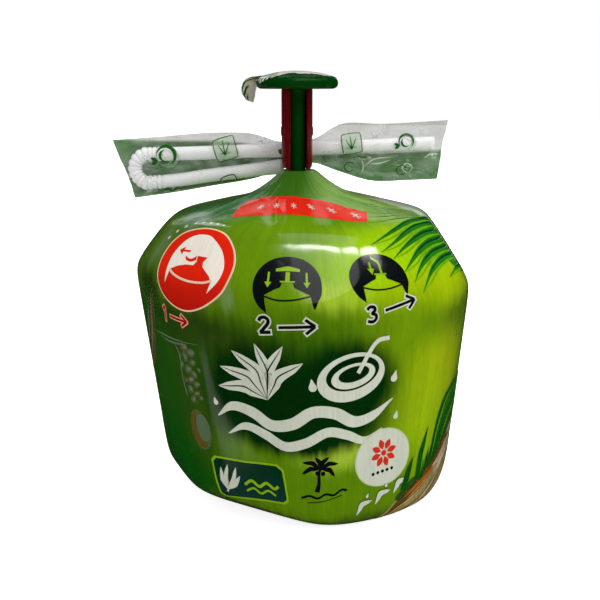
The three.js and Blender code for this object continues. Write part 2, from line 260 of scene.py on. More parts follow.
def on_far_wall(across, up, depth):
    """A direction as a place on a flat wall."""
    ahead = maths(sky, "MAXIMUM", depth, NEARLY_LEVEL)
    places = [maths(sky, "DIVIDE", side, ahead) for side in (across, up)]
    return add_node(sky, "CombineXYZ", dict(enumerate(places))).outputs[0]


ceiling = light_windows(sky, on_far_wall(x, y, z), CEILING_WINDOWS, MIRROR_DIM)
room = light_windows(sky, on_far_wall(x, z, y), BACK_WINDOWS, ceiling)
mirrored, fill, wall = (
    add_node(sky, "Background", {"Color": WHITE, "Strength": strength}).outputs[0]
    for strength in (room, ROOM_FILL, WALL_WHITE)
)
ray = add_node(sky, "LightPath").outputs
lit = add_node(sky, "MixShader", {0: ray["Is Glossy Ray"], 1: fill, 2: mirrored}).outputs[0]
seen = add_node(sky, "MixShader", {0: ray["Is Camera Ray"], 1: lit, 2: wall}).outputs[0]
add_node(sky, "OutputWorld", {"Surface": seen})
print("windows in the mirrored room:", len(CEILING_WINDOWS) + len(BACK_WINDOWS))

# %% [markdown]
# The floor is a sheet of white card. For the camera it glows a little, more so far away, so that it runs
# into the white wall without a line. In the gloss of the film it is almost black, but for one strip at the
# left, whose mirror image is the long pale streak down the film's left edge. Its glow lights nothing, so
# the renderer is told to send no light rays to it.

# %% Floor
FLOOR_HALF = 3.0                    # m
FLOOR_DROP = 0.0002                 # m, so that the floor and the foot don't share a plane
FLOOR_GLOW = (0.85, 1.0)            # near and far
FLOOR_FADE = (0.2, 0.75)            # m from the axis, where near ends and far begins
FLOOR_MIRRORED = 0.012
CARD_GRAIN, CARD_TONES = 35.0, (0.9, 0.93)
STRIP = [("strip of card", (0.115, 0.053), (0.064, 0.010), 0, 0.6, 0.75)]
STRIP_TURN = -162.6                 # degrees

floor_mesh = bpy.data.meshes.new("floor")
shape = bmesh.new()
bmesh.ops.create_grid(shape, x_segments=1, y_segments=1, size=FLOOR_HALF)
bmesh.ops.translate(shape, verts=shape.verts, vec=(0, 0, -FLOOR_DROP))
shape.to_mesh(floor_mesh)
shape.free()
floor = bpy.data.objects.new("floor", floor_mesh)
bpy.context.collection.objects.link(floor)

floor_paint, tree, shader = new_material("floor_paint", Roughness=0.7, Specular_IOR_Level=0.2)
place = add_node(tree, "TexCoord").outputs["Object"]
distance = add_node(tree, "VectorMath", {0: place}, operation="LENGTH").outputs["Value"]
set_sockets(tree, shader, {"Base Color": remap(tree, noise(tree, place, CARD_GRAIN), new=CARD_TONES)})
glow = add_node(tree, "Emission", {"Color": WHITE, "Strength": remap(tree, distance, FLOOR_FADE, FLOOR_GLOW)})
bright = add_node(tree, "AddShader", {0: shader.outputs[0], 1: glow.outputs[0]}).outputs[0]
pale = light_windows(tree, stretched(tree, place, turn=-STRIP_TURN), STRIP, FLOOR_MIRRORED)
mirror = add_node(tree, "Emission", {"Color": WHITE, "Strength": pale}).outputs[0]
ray = add_node(tree, "LightPath").outputs
plain = add_node(tree, "MixShader", {0: ray["Is Glossy Ray"], 1: shader.outputs[0], 2: mirror}).outputs[0]
both = add_node(tree, "MixShader", {0: ray["Is Camera Ray"], 1: plain, 2: bright}).outputs[0]
set_sockets(tree, tree.nodes["Material Output"], {"Surface": both})
floor_paint.cycles.emission_sampling = "NONE"
floor_mesh.materials.append(floor_paint)
print("floor:", 2 * FLOOR_HALF, "m wide")

# %% [markdown]
# Two soft panels light the scene: a large one overhead, which gives the floor its white, and a smaller one
# at the front right, which leaves the left side in the shade. Neither shows in the gloss, because the
# mirrored room has its own windows.

# %% Lights
# Name, place, point aimed at and side in mm, power in watts
PANELS = [
    ("overhead", (0, 250, 1500), (0, 0, 0), 1700, 16),
    ("key", (900, -750, 900), (0, 0, 60), 500, 6),
]

for name, place, aim, side, power in PANELS:
    data = bpy.data.lights.new(name, "AREA")
    data.size = side * MM
    data.energy = power
    light = bpy.data.objects.new(name, data)
    light.location = Vector(place) * MM
    light.rotation_euler = (Vector(aim) - Vector(place)).to_track_quat("-Z", "Y").to_euler()
    light.visible_glossy = False
    bpy.context.collection.objects.link(light)
print("lights:", [item.name for item in bpy.data.lights])

# %% [markdown]
# The film is one sleeve, shrunk onto the trimmed coconut. Its artwork is printed while it is still a flat
# tube, so the script works in that flat sheet too: u runs round the tube in mm, v is the height on it in
# mm. Below the roof the sleeve lies on the husk, which a knife has trimmed. So the first function cuts a
# round form by the knife's planes and softens the edges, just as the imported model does.

# %% The trimmed body
SLEEVE_RADIUS = 60.0
HALF_TURN = math.pi * SLEEVE_RADIUS      # mm of sleeve from the front to the back
CENTRE_HEIGHT = 55.0
EDGE_SHARPNESS = 48
FLAT_UNDER = 0.05            # mm, all that is lower lies flat on the floor
LEAN, LEAN_LEVEL = 0.02, 80.0

# Planes turned round the axis: radius, height, tilt in degrees
ROUND_CUTS = [(60.8, 80, -6.3), (55.6, 90.2, 36.5), (45.5, 100.2, 76.5), (54, 4, -42), (0, 0, -90)]
# Knife cuts: azimuth, radius, height, tilt
SHOULDER_CUTS = [
    (-3, 52.9, 89.6, 36.5), (42, 53, 88, 35), (87, 53.9, 85.5, 32), (133, 53, 88, 35),
    (178, 52.9, 89.6, 36.5), (-137, 53, 91, 38), (-93, 53.7, 92.2, 40), (-48, 53.2, 91, 38.5),
]
SIDE_CUTS = [(azimuth, radius, 80, -6.3) for azimuth, radius in (
    (-62, 58.8), (-20, 58.8), (24, 59), (66, 59.4), (110, 59.6), (150, 58.8), (-170, 58.6),
    (-130, 58.9), (-97, 60.2),
)]
FOOT_CUTS = [
    (-70, 46.8, 5, -46), (-32, 43.2, 3.2, -54), (10, 52, 1.5, -50), (42, 50.6, 1, -45),
    (85, 53.2, 3, -40), (130, 51, 5, -42), (178, 50, 5, -44), (-130, 49, 5, -46),
]
# Levels of the sheet: v, radius and height of the round form there
SHEET_LEVELS = np.array([(-51, 0, 0), (0, 51, 0.5), (80, 60, 80), (104.7, 45.5, 100), (120.7, 30, 103.8)])

def cut_reach(azimuth, polar):
    """Distance from the centre point to the trimmed surface, in a direction."""
    flat, up = np.sin(polar), np.cos(polar)
    total = np.zeros_like(azimuth)
    cuts = [(None, *cut) for cut in ROUND_CUTS] + SHOULDER_CUTS + SIDE_CUTS + FOOT_CUTS
    for heading, radius, level, tilt in cuts:
        along, rise = math.cos(math.radians(tilt)), math.sin(math.radians(tilt))
        reach = along * radius + rise * (level - CENTRE_HEIGHT)
        facing = 1.0 if heading is None else np.cos(azimuth - math.radians(heading))
        total += np.maximum(0, (flat * facing * along + up * rise) / reach) ** EDGE_SHARPNESS
    return total ** (-1 / EDGE_SHARPNESS)


def trimmed_body(azimuth, v):
    sheet, radius, level = SHEET_LEVELS.T
    polar = np.arctan2(np.interp(v, sheet, radius), np.interp(v, sheet, level) - CENTRE_HEIGHT)
    reach = cut_reach(azimuth, polar)
    z = CENTRE_HEIGHT + np.cos(polar) * reach
    out = np.sin(polar) * reach
    x = np.sin(azimuth) * out + (LEAN_LEVEL - z) * LEAN
    return x, -np.cos(azimuth) * out, np.where(z < FLAT_UNDER, 0, z)


front, back = (trimmed_body(np.array(azimuth), np.array(60.0))[1] for azimuth in (0.0, math.pi))
print("the body is", round(float(back - front), 1), "mm deep at mid height")

# %% [markdown]
# Over the roof the sleeve is gathered to the neck like a tent, in narrow pleats. The roof itself is a slope
# that a knife cut all round, and the tent rises from it towards the plunger's stem.

# %% The roof and the gathered neck
V_FOOT, V_ROOF, V_NECK, V_SOCKET = -51.0, 120.7, 146.7, 148.6
NECK_X, NECK_HEIGHT, NECK_RADIUS, SOCKET_RADIUS = -2.5, 115.0, 5.2, 3.3
TENT_RADIUS, TENT_RISE, TENT_POWER = 19.0, 6.0, 1.7
ROOF_RADIUS, ROOF_CENTRE = 30.0, -0.476
ROOF_EDGE_RADIUS, ROOF_EDGE_HEIGHT = 45.5, 100.2
ROOF_SLOPE = math.tan(math.radians(13.5))
PLEAT_DEPTH = 0.035          # share of the radius


def roof_and_tent(azimuth, v):
    ring = np.interp(v, [V_ROOF, V_NECK, V_SOCKET], [ROOF_RADIUS, NECK_RADIUS, SOCKET_RADIUS])
    climb = np.clip((TENT_RADIUS - ring) / (TENT_RADIUS - NECK_RADIUS), 0, 1)
    pleat = 0.5 * np.sin(19 * azimuth + 1.3 * np.sin(3 * azimuth))
    pleat += 0.3 * np.sin(34 * azimuth + 2 * np.cos(2 * azimuth))
    ring = ring * (1 + PLEAT_DEPTH * pleat * np.sin(np.pi * climb) ** 0.8)
    centre = np.interp(ring, [TENT_RADIUS, ROOF_RADIUS], [NECK_X, ROOF_CENTRE])
    x = np.sin(azimuth) * ring + centre
    y = -np.cos(azimuth) * ring
    slope = ROOF_EDGE_HEIGHT + (ROOF_EDGE_RADIUS - np.hypot(x, y)) * ROOF_SLOPE
    z = slope + TENT_RISE * climb ** TENT_POWER
    return x, y, np.where(ring <= NECK_RADIUS, NECK_HEIGHT, np.minimum(z, NECK_HEIGHT))


print("the tent rises", TENT_RISE, "mm over the roof's slope, to", NECK_HEIGHT, "mm")

# %% [markdown]
# Film that shrinks over corners leaves folds: low ridges that start at the neck and run out on the
# shoulder. Each is a line in the flat sheet, and near it the surface is lifted a little.

# %% Folds of the film
# Points of the flat sheet, height and half width in mm
FOLDS = [
    ([(-38, 143), (-64, 138.5), (-71, 133), (-61, 125.5), (-57, 119.5), (-56, 113), (-58, 108), (-65, 103)],
     0.95, 1.5),
    ([(-82, 134), (-66, 124), (-64, 113)], 0.5, 1.4),
    ([(70, 140), (64, 130), (58, 119), (50, 108)], 0.4, 1.6),
    ([(48, 141), (44, 131), (36, 119)], 0.3, 1.5),
    ([(-24, 136), (-19, 124), (-12, 110)], 0.25, 1.4),
]


def fold_height(u, v):
    """How far the folds stand out, in mm, at points of the flat sheet."""
    total = np.zeros(np.broadcast(u, v).shape)
    for points, height, reach in FOLDS:
        path = np.array(points, float)
        nearest = np.full(total.shape, 1e9)
        along = np.zeros(total.shape)
        for step, (a, b) in enumerate(zip(path, path[1:])):
            way = b - a
            share = np.clip(((u - a[0]) * way[0] + (v - a[1]) * way[1]) / (way @ way), 0, 1)
            gap = np.hypot(u - a[0] - share * way[0], v - a[1] - share * way[1])
            along = np.where(gap < nearest, (step + share) / (len(path) - 1), along)
            nearest = np.minimum(nearest, gap)
        total += height * np.exp(-(nearest / reach) ** 2) * np.sin(np.pi * np.clip(along, 0, 1)) ** 0.7
    return total


def on_coconut(u, v):
    """Points of the flat sleeve, in mm, on the coconut, in metres."""
    u, v = np.asarray(u, float), np.asarray(v, float)
    azimuth = u / SLEEVE_RADIUS
    body = np.stack(trimmed_body(azimuth, v), -1)
    top = np.stack(roof_and_tent(azimuth, v), -1)
    place = np.where((v > V_ROOF)[..., None], top, body)
    outwards = place - np.array([0, 0, CENTRE_HEIGHT])
    outwards /= np.linalg.norm(outwards, axis=-1)[..., None]
    return (place + outwards * fold_height(u, v)[..., None]) * MM


print("folds:", len(FOLDS), "- the highest stands out", max(height for _, height, _ in FOLDS), "mm")

# %% [markdown]
# A few helpers serve every piece. One turns a bmesh into an object that rides on the model's body. The
# others place each corner of a flat grid on its surface, after the flat sheet is kept as the UV map.

# %% Helpers for pieces
def finish_piece(name, shape, materials, replaced=None, normals=None):
    """Turns a bmesh into an object that rides on the model's body."""
    mesh = bpy.data.meshes.new(name)
    shape.to_mesh(mesh)
    shape.free()
    for material in materials:
        mesh.materials.append(material)
    for face in mesh.polygons:
        face.use_smooth = True
    if normals is not None:
        mesh.normals_split_custom_set_from_vertices(normals)
    piece = bpy.data.objects.new(name, mesh)
    bpy.context.collection.objects.link(piece)
    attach(piece, ROOT)
    if replaced:
        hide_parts(replaced)
    print(name, len(mesh.polygons), "faces")
    return piece


def keep_flat_map(shape, flat_places):
    """Writes the flat place of every corner, in mm, as the UV map. The map itself is in metres."""
    layer = shape.loops.layers.uv.new("sleeve")
    for face in shape.faces:
        for loop in face.loops:
            u, v = flat_places[loop.vert.index]
            loop[layer].uv = (u * MM, v * MM)


def move_corners(shape, places):
    for vert, place in zip(shape.verts, places):
        vert.co = place


def flat_grid(columns, rows, middle=(0.5, 0.5), size=(1, 1)):
    """A flat grid and the places of its corners."""
    shape = bmesh.new()
    bmesh.ops.create_grid(shape, x_segments=columns, y_segments=rows, size=0.5)
    bmesh.ops.scale(shape, verts=shape.verts, vec=(*size, 1))
    bmesh.ops.translate(shape, verts=shape.verts, vec=(*middle, 0))
    shape.verts.index_update()
    return shape, np.array([vert.co for vert in shape.verts])[:, :2]


print("a sleeve of", round(2 * HALF_TURN), "mm round will be cut into a grid")

# %% [markdown]
# The sleeve starts as a flat grid of about one millimetre. Every corner is moved onto the coconut, the
# two edges of the sheet and the pole under the foot are merged, and the ring at the neck is pushed down
# into the socket and shut. What results is one closed skin that keeps the flat sheet as its UV map.

# %% Film mesh
COLUMNS, ROWS = 360, 190
PITCH_U = 2 * HALF_TURN / COLUMNS
PITCH_V = (V_SOCKET - V_FOOT) / ROWS
SOCKET_DEPTH = 4.0
MERGE_WITHIN = 0.002         # mm

film_shape, flat = flat_grid(COLUMNS, ROWS, (0, (V_SOCKET + V_FOOT) / 2), (2 * HALF_TURN, V_SOCKET - V_FOOT))
keep_flat_map(film_shape, flat)
move_corners(film_shape, on_coconut(*flat.T))
bmesh.ops.remove_doubles(film_shape, verts=film_shape.verts, dist=MERGE_WITHIN * MM)
neck_edges = [edge for edge in film_shape.edges if edge.is_boundary]
grown = bmesh.ops.extrude_edge_only(film_shape, edges=neck_edges)["geom"]
lowered = [item for item in grown if isinstance(item, bmesh.types.BMVert)]
bmesh.ops.translate(film_shape, verts=lowered, vec=(0, 0, -SOCKET_DEPTH * MM))
bmesh.ops.holes_fill(film_shape, edges=[edge for edge in film_shape.edges if edge.is_boundary])
bmesh.ops.recalc_face_normals(film_shape, faces=film_shape.faces)
print("open edges left:", sum(edge.is_boundary for edge in film_shape.edges))

# %% [markdown]
# Shrink film is thin, glossy and never quite smooth. It carries long shallow waves where it pulled tight,
# fine wrinkles that run up the sides, and a faint pebbling from the fibres below. The film and every ink
# on it share this relief, so one node group makes it, and the gloss runs across them without a seam.

# %% Relief of the film, as a group
WAVES, PEBBLES = 60.0, 1100.0                  # per m
WRINKLES_STRETCHED = (330.0, 330.0, 60.0)      # per m across, across and up
FILM_GLOSS = {"Roughness": 0.09, "Specular_IOR_Level": 0.5}
RELIEF_DEPTH = 0.00045                         # m

film_relief, given, result = open_group(
    "film_relief",
    [("Wave", "Float", 0.5), ("Wrinkle", "Float", 0.3), ("Pebble", "Float", 0.1)],
    [("Height", "Float")],
)
place = add_node(film_relief, "TexCoord").outputs["Object"]
long_place = stretched(film_relief, place, WRINKLES_STRETCHED)
total = maths(film_relief, "MULTIPLY", given["Wave"], noise(film_relief, place, WAVES, 1.0))
for share, height in (
    ("Wrinkle", noise(film_relief, long_place, 1, 0, distortion=0.4)),
    ("Pebble", noise(film_relief, place, PEBBLES, 1)),
):
    total = maths(film_relief, "ADD", total, maths(film_relief, "MULTIPLY", given[share], height))
set_sockets(film_relief, result, {"Height": total})


def add_relief(tree, shader, wave=0.22, wrinkle=0.045, pebble=0.0):
    height = use_group(tree, film_relief, {"Wave": wave, "Wrinkle": wrinkle, "Pebble": pebble})
    add_bump(tree, shader, height.outputs["Height"], RELIEF_DEPTH)


print("film_relief:", len(film_relief.nodes), "nodes")

# %% [markdown]
# The print is greens that run into each other like an airbrush drawing: lime on the front of the
# shoulder, yellow green at the right, deep green at the left, a dark glow behind the white motif.
# Each run of colour is a soft oval in the flat sheet, so one group sprays one oval over what is there.

# %% Airbrushed oval, as a group
airbrush, given, result = open_group(
    "airbrush",
    [("Under", "Color", None), ("Paint", "Color", None), ("Sheet", "Vector", None),
     ("Middle", "Vector", None), ("Reach", "Vector", (1, 1, 1)), ("Softness", "Float", 0.5),
     ("Strength", "Float", 1.0)],
    [("Color", "Color")],
)
offset = vector_maths(airbrush, "SUBTRACT", given["Sheet"], given["Middle"])
scaled = vector_maths(airbrush, "DIVIDE", offset, given["Reach"])
distance = add_node(airbrush, "VectorMath", {0: scaled}, operation="LENGTH").outputs["Value"]
soft_edge = [maths(airbrush, way, 1.0, given["Softness"]) for way in ("SUBTRACT", "ADD")]
mask = remap(airbrush, distance, soft_edge, (1.0, 0.0), interpolation_type="SMOOTHSTEP")
mask = maths(airbrush, "MULTIPLY", mask, given["Strength"])
set_sockets(airbrush, result, {"Color": mix_colours(airbrush, mask, given["Under"], given["Paint"])})
print("airbrush:", len(airbrush.nodes), "nodes")

# %% [markdown]
# The printed picture has the look of coconut fibre: fine lines that run up the sheet and make every colour
# a little lighter or darker. Three stretched noises of different widths give the lines.

# %% Fibres of the print, as a group
FIBRES_STRETCHED = ((900.0, 60.0), (260.0, 22.0), (1500.0, 320.0))     # per m across and along

fibres, given, result = open_group(
    "fibres",
    [("Color", "Color", None), ("Sheet", "Vector", None), ("Amount", "Float", 0.2)],
    [("Color", "Color")],
)
swings = []
for across, along in FIBRES_STRETCHED:
    lines = noise(fibres, stretched(fibres, given["Sheet"], (across, along, 1)), detail=3.0)
    swings.append(maths(fibres, "SUBTRACT", lines, 0.5))
total = maths(fibres, "ADD", maths(fibres, "ADD", swings[0], swings[1]), swings[2])
light = maths(fibres, "ADD", maths(fibres, "MULTIPLY", total, given["Amount"]), 1.0)
set_sockets(fibres, result, {"Color": lighten(fibres, given["Color"], light)})
print("fibres:", len(fibres.nodes), "nodes")

# %% [markdown]
# The ovals are sprayed one over the other, from the roof down to the foot. The sheet is folded in the
# middle first, so that the back of the sleeve gets the colours of the front, and a ragged noise moves the
# edges of the ovals a few millimetres. Most ovals are the print's own colours, but a few pale ones on the
# roof and the shoulder are painted reflections and painted highlights of the glossy film.

# %% The sleeve's print
GROUND = (88, 122, 8)
# Name, colour, middle and reach in mm of the flat sheet, softness, strength
AIRBRUSHED = [
    ("roof", (60, 108, 24), (0, 140), (400, 21), 0.2, 1),
    ("left of the roof", (60, 106, 60), (-78, 119), (44, 22), 0.4, 1),
    ("right of the roof", (134, 176, 86), (66, 124), (50, 20), 0.5, 0.95),
    # Painted reflections: two pale ovals stand in for the bright room mirrored on the left roof and on the
    # right roof's edge.
    ("painted reflection on the left roof", (126, 150, 126), (-63, 108), (11, 5.5), 0.4, 0.85),
    ("painted reflection on the right roof edge", (190, 214, 176), (79, 110.5), (9, 4.5), 0.5, 0.85),
    ("olive patch", (120, 150, 20), (84, 124), (12, 8), 0.7, 0.8),
    ("roof under the band", (100, 146, 10), (0, 110), (36, 10), 0.5, 1),
    ("left shoulder", (78, 110, 26), (-80, 92), (30, 14), 0.5, 1),
    ("front of the shoulder", (102, 142, 8), (4, 92), (44, 15), 0.5, 1),
    ("right shoulder", (158, 204, 4), (42, 90), (34, 17), 0.5, 1),
    ("right yellow", (160, 188, 4), (52, 80), (26, 9), 0.6, 1),
    # Painted reflection: a pale oval stands in for the window mirrored on the front shoulder facet.
    ("painted reflection on the front facet", (168, 200, 50), (10, 82), (9, 5), 0.7, 0.8),
    ("left dark", (18, 38, 6), (-67, 78), (9, 6.5), 0.6, 0.85),
    # Painted highlights: pale ovals stand in for light caught on a facet edge and on crumpled film beside the
    # first step.
    ("painted highlight by the first step", (124, 150, 100), (-25.4, 80.5), (2.2, 4.4), 0.6, 0.6),
    ("painted highlight left of the first step", (104, 128, 90), (-67, 94), (3, 7), 0.7, 0.55),
    ("between the steps and the motif", (80, 120, 2), (-8, 69), (46, 9), 0.6, 0.95),
    ("right of the motif", (108, 144, 4), (38, 62), (18, 18), 0.6, 1),
    ("right blotch", (78, 112, 6), (64, 67), (17, 7), 0.7, 0.85),
    ("right yellow below", (152, 176, 6), (57, 50), (19, 15), 0.6, 1),
    ("right foot", (148, 182, 8), (47, 28), (15, 17), 0.6, 0.9),
    ("under the first step", (36, 54, 12), (-50, 67), (34, 9), 0.5, 1),
    ("left side", (28, 86, 2), (-84, 42), (48, 34), 0.35, 1),
    ("left foot", (6, 84, 3), (-62, 14), (34, 18), 0.5, 1),
    ("left column", (48, 76, 14), (-42, 48), (10, 24), 0.7, 0.8),
    ("under the motif", (92, 134, 4), (8, 20), (34, 13), 0.5, 1),
    ("pale under the motif", (160, 190, 50), (12, 27.5), (13, 5), 0.7, 0.9),
    ("haze of the glow", (34, 78, 4), (-10, 55), (36, 16), 0.4, 0.9),
    ("brown haze", (62, 68, 12), (-22, 65), (13, 4), 0.7, 0.4),
    ("glow, left", (1, 42, 4), (-17, 50), (19, 17), 0.28, 1),
    ("glow, right", (1, 44, 5), (13, 52), (19, 15), 0.28, 1),
    ("glow, low", (1, 44, 5), (-3, 38), (30, 10), 0.3, 1),
    ("seam, right", (58, 104, 4), (94, 55), (11, 70), 0.7, 1),
    ("seam, left", (58, 104, 4), (-94, 55), (11, 70), 0.7, 1),
    ("front foot", (98, 140, 4), (10, 8), (42, 6), 0.5, 0.7),
    ("foot", (62, 82, 24), (0, -6), (400, 8), 0.5, 0.95),
]
RAGGED_STRETCHED, RAGGED_REACH = (300, 45, 1), (0.003, 0.006, 0)       # per m, m

printed_film, tree, shader = new_material("printed_film", **FILM_GLOSS)
flat_map = add_node(tree, "UVMap", uv_map="sleeve").outputs["UV"]
split = add_node(tree, "SeparateXYZ", {"Vector": flat_map}).outputs
half = HALF_TURN * MM / 2
folded = maths(tree, "WRAP", split["X"], -half, half)
sheet = add_node(tree, "CombineXYZ", {"X": folded, "Y": split["Y"]}).outputs[0]
clouds = add_node(tree, "TexNoise", {"Vector": stretched(tree, sheet, RAGGED_STRETCHED), "Scale": 1.0})
clouds = clouds.outputs["Color"]
ragged = vector_maths(tree, "MULTIPLY", vector_maths(tree, "SUBTRACT", clouds, (0.5, 0.5, 0.5)), RAGGED_REACH)
sheet_drawn = vector_maths(tree, "ADD", sheet, ragged)
run = colour(*GROUND)
for name, paint, middle, reach, softness, strength in AIRBRUSHED:
    spray = use_group(tree, airbrush, {
        "Under": run, "Paint": colour(*paint), "Sheet": sheet_drawn,
        "Middle": (middle[0] * MM, middle[1] * MM, 0), "Reach": (reach[0] * MM, reach[1] * MM, 1),
        "Softness": softness, "Strength": strength,
    })
    spray.label = name
    run = spray.outputs["Color"]
run = use_group(tree, fibres, {"Color": run, "Sheet": sheet, "Amount": 0.38}).outputs["Color"]
set_sockets(tree, shader, {"Base Color": run})
add_relief(tree, shader)
finish_piece("film_wrap", film_shape, [printed_film], "wrapped_coconut")

# %% [markdown]
# The motifs are drawn as flat shapes in the sheet, like paper cut-outs, each with its ink and its level
# in the pile. The tools are those of any drawing program.

# %% Tools for lines and points
def smooth_path(points, closed=False, steps=6):
    """More points on a smooth line through the given ones."""
    points = np.array(points, float)
    if len(points) < 3:
        return points
    if closed:
        around = np.vstack([points[-1:], points, points[:2]])
    else:
        around = np.vstack([2 * points[0] - points[1], points, 2 * points[-1] - points[-2]])
    path = []
    for a, b, c, d in zip(around, around[1:], around[2:], around[3:]):
        for share in np.arange(steps) / steps:
            path.append(0.5 * (2 * b + (c - a) * share + (2 * a - 5 * b + 4 * c - d) * share ** 2
                               + (3 * b - a - 3 * c + d) * share ** 3))
    if not closed:
        path.append(points[-1])
    return np.array(path)


def arc(centre, radii, start, end, steps):
    """Points of an arc or a part of an oval. The angles are in radians."""
    return [(centre[0] + radii[0] * math.cos(turn), centre[1] + radii[1] * math.sin(turn))
            for turn in np.linspace(start, end, steps)]


def at_angle(middle, reach, degrees):
    """The point that lies at an angle and a distance from another."""
    turn = math.radians(degrees)
    return (middle[0] + reach * math.cos(turn), middle[1] + reach * math.sin(turn))


def placed(points, middle, size, turn=0):
    """Points of a small drawing, turned, scaled and moved to its place."""
    c, s = math.cos(math.radians(turn)), math.sin(math.radians(turn))
    return [(middle[0] + (u * c - v * s) * size, middle[1] + (u * s + v * c) * size) for u, v in points]


def resized(outline, share):
    """An outline scaled about its own middle."""
    middle = np.mean(outline, axis=0)
    return [tuple(middle + (np.array(point) - middle) * share) for point in outline]


print("a smooth line through 3 points has", len(smooth_path([(0, 0), (1, 1), (2, 0)])), "points")

# %% [markdown]
# Three kinds of shape are enough for the whole print: ovals, filled outlines, and strokes of changing
# width. A stroke is a chain of edges that is extruded once and spread to both sides of its line.

# %% Tools for shapes of ink
def ink_new_faces(art, ink, level):
    """Gives the faces that have no ink yet their ink and level, and turns them outwards."""
    inked = art.faces.layers.int.get("inked") or art.faces.layers.int.new("inked")
    made = [face for face in art.faces if not face[inked]]
    for face in made:
        face[inked] = 1
        face.material_index = ink
        face.normal_update()
        if face.normal.z < 0:
            face.normal_flip()
    for vert in {vert for face in made for vert in face.verts}:
        vert.co.z = level


def oval(art, middle, radii, ink, level=0, turn=0, segments=40):
    place = Matrix.Translation((*middle, 0)) @ Matrix.Rotation(math.radians(turn), 4, "Z")
    bmesh.ops.create_circle(art, cap_ends=True, segments=segments, radius=1,
                            matrix=place @ Matrix.Diagonal((*radii, 1, 1)))
    ink_new_faces(art, ink, level)


def patch(art, outline, ink, level=0, smooth=False):
    if smooth:
        outline = smooth_path(outline, closed=True)
    face = art.faces.new([art.verts.new((*point, 0)) for point in outline])
    face.normal_update()
    bmesh.ops.triangulate(art, faces=[face])
    ink_new_faces(art, ink, level)


def stroke(art, points, width, ink, level=0, steps=6, closed=False):
    """A ribbon along a smooth line. Width is one number, or one at each point."""
    path = smooth_path(points, closed, steps)
    if closed:
        path = np.vstack([path, path[:1]])
    widths = np.interp(np.linspace(0, 1, len(path)), np.linspace(0, 1, np.size(width)), np.ravel(width))
    along = np.gradient(path, axis=0)
    along /= np.linalg.norm(along, axis=1)[:, None]
    half = np.stack([-along[:, 1], along[:, 0]], -1) * widths[:, None] / 2
    near = [art.verts.new((*point, 0)) for point in path + half]
    edges = [art.edges.new(pair) for pair in zip(near, near[1:])]
    made = bmesh.ops.extrude_edge_only(art, edges=edges)["geom"]
    new = {item for item in made if isinstance(item, bmesh.types.BMVert)}
    for vert, point in zip(near, path - half):
        far = next(edge.other_vert(vert) for edge in vert.link_edges if edge.other_vert(vert) in new)
        far.co = (*point, 0)
    ink_new_faces(art, ink, level)


def strokes(art, rows):
    for points, width, ink, level in rows:
        stroke(art, points, width, ink, level)


def leaf(art, foot, tip, width, ink, level=0, bend=0.0):
    """A leaf from its foot to its tip, widest in the middle."""
    foot, tip = Vector(foot), Vector(tip)
    middle = (foot + tip) / 2 + Vector((-(tip - foot).y, (tip - foot).x)) * bend
    stroke(art, [foot, foot.lerp(middle, 0.6), middle, middle.lerp(tip, 0.6), tip],
           [0.15 * width, 0.85 * width, width, 0.65 * width, 0.05 * width], ink, level)


DROP = [(0, 1.25), (0.34, 0.55), (0.62, 0), (0.56, -0.46), (0.26, -0.75), (-0.26, -0.75), (-0.56, -0.46),
        (-0.62, 0), (-0.34, 0.55)]


def drop(art, middle, size, ink, level=0, turn=0):
    patch(art, placed(DROP, middle, size, turn), ink, level, smooth=True)


print("a drop is drawn through", len(DROP), "points")

# %% [markdown]
# The finished drawing is cut along the film's own grid lines and wrapped by the same function, a tenth of
# a millimetre over the film. It bends where the film bends, and its edges stay sharp at any distance,
# which a picture of a print doesn't do. The sleeve shows its motifs twice, so it is printed again on the
# back, half a turn on.

# %% Wrapping a drawing
PRINT_LIFT = 0.07      # mm from the film to the lowest ink
LEVEL_LIFT = 0.035     # mm from one ink to the next
NORMAL_STEP = 0.5      # mm of sheet either side, for the direction that the film faces


def outward(surface, u, v):
    """The direction that a film faces, at points of its flat sheet."""
    across = surface(u + NORMAL_STEP, v) - surface(u - NORMAL_STEP, v)
    up = surface(u, v + NORMAL_STEP) - surface(u, v - NORMAL_STEP)
    facing = np.cross(across, up)
    return facing / np.linalg.norm(facing, axis=1)[:, None]


def all_of(shape):
    return shape.verts[:] + shape.edges[:] + shape.faces[:]


def cut_along_grid(art):
    flat = np.array([vert.co for vert in art.verts])
    for axis, pitch, start in ((0, PITCH_U, -HALF_TURN), (1, PITCH_V, V_FOOT)):
        first = math.ceil((flat[:, axis].min() - start) / pitch)
        last = math.floor((flat[:, axis].max() - start) / pitch)
        for line in range(first, last + 1):
            place, facing = Vector(), Vector()
            place[axis] = start + line * pitch
            facing[axis] = 1
            bmesh.ops.bisect_plane(art, geom=all_of(art), dist=1e-4, plane_co=place, plane_no=facing)


def wrap_print(name, art, inks, surface=on_coconut, both_sides=True):
    cut_along_grid(art)
    if both_sides:
        again = bmesh.ops.duplicate(art, geom=all_of(art))["geom"]
        copies = [item for item in again if isinstance(item, bmesh.types.BMVert)]
        bmesh.ops.translate(art, verts=copies, vec=(HALF_TURN, 0, 0))
    art.verts.index_update()
    u, v, level = np.array([vert.co for vert in art.verts]).T
    keep_flat_map(art, np.stack([u, v], -1))
    facing = outward(surface, u, v)
    lift = (PRINT_LIFT + LEVEL_LIFT * level) * MM
    move_corners(art, surface(u, v) + facing * lift[:, None])
    return finish_piece(name, art, inks, normals=facing)


facing = outward(on_coconut, np.array([0.0]), np.array([50.0]))[0]
print("the front of the film faces", [round(float(part), 2) for part in facing])

# %% [markdown]
# Every ink lies under the same gloss as the film. It has its own colour, a second colour that it fades
# to down the sheet, and a light mottling, because ink on stretched film is never even. An ink that only
# tints what is below it lets some of it through.

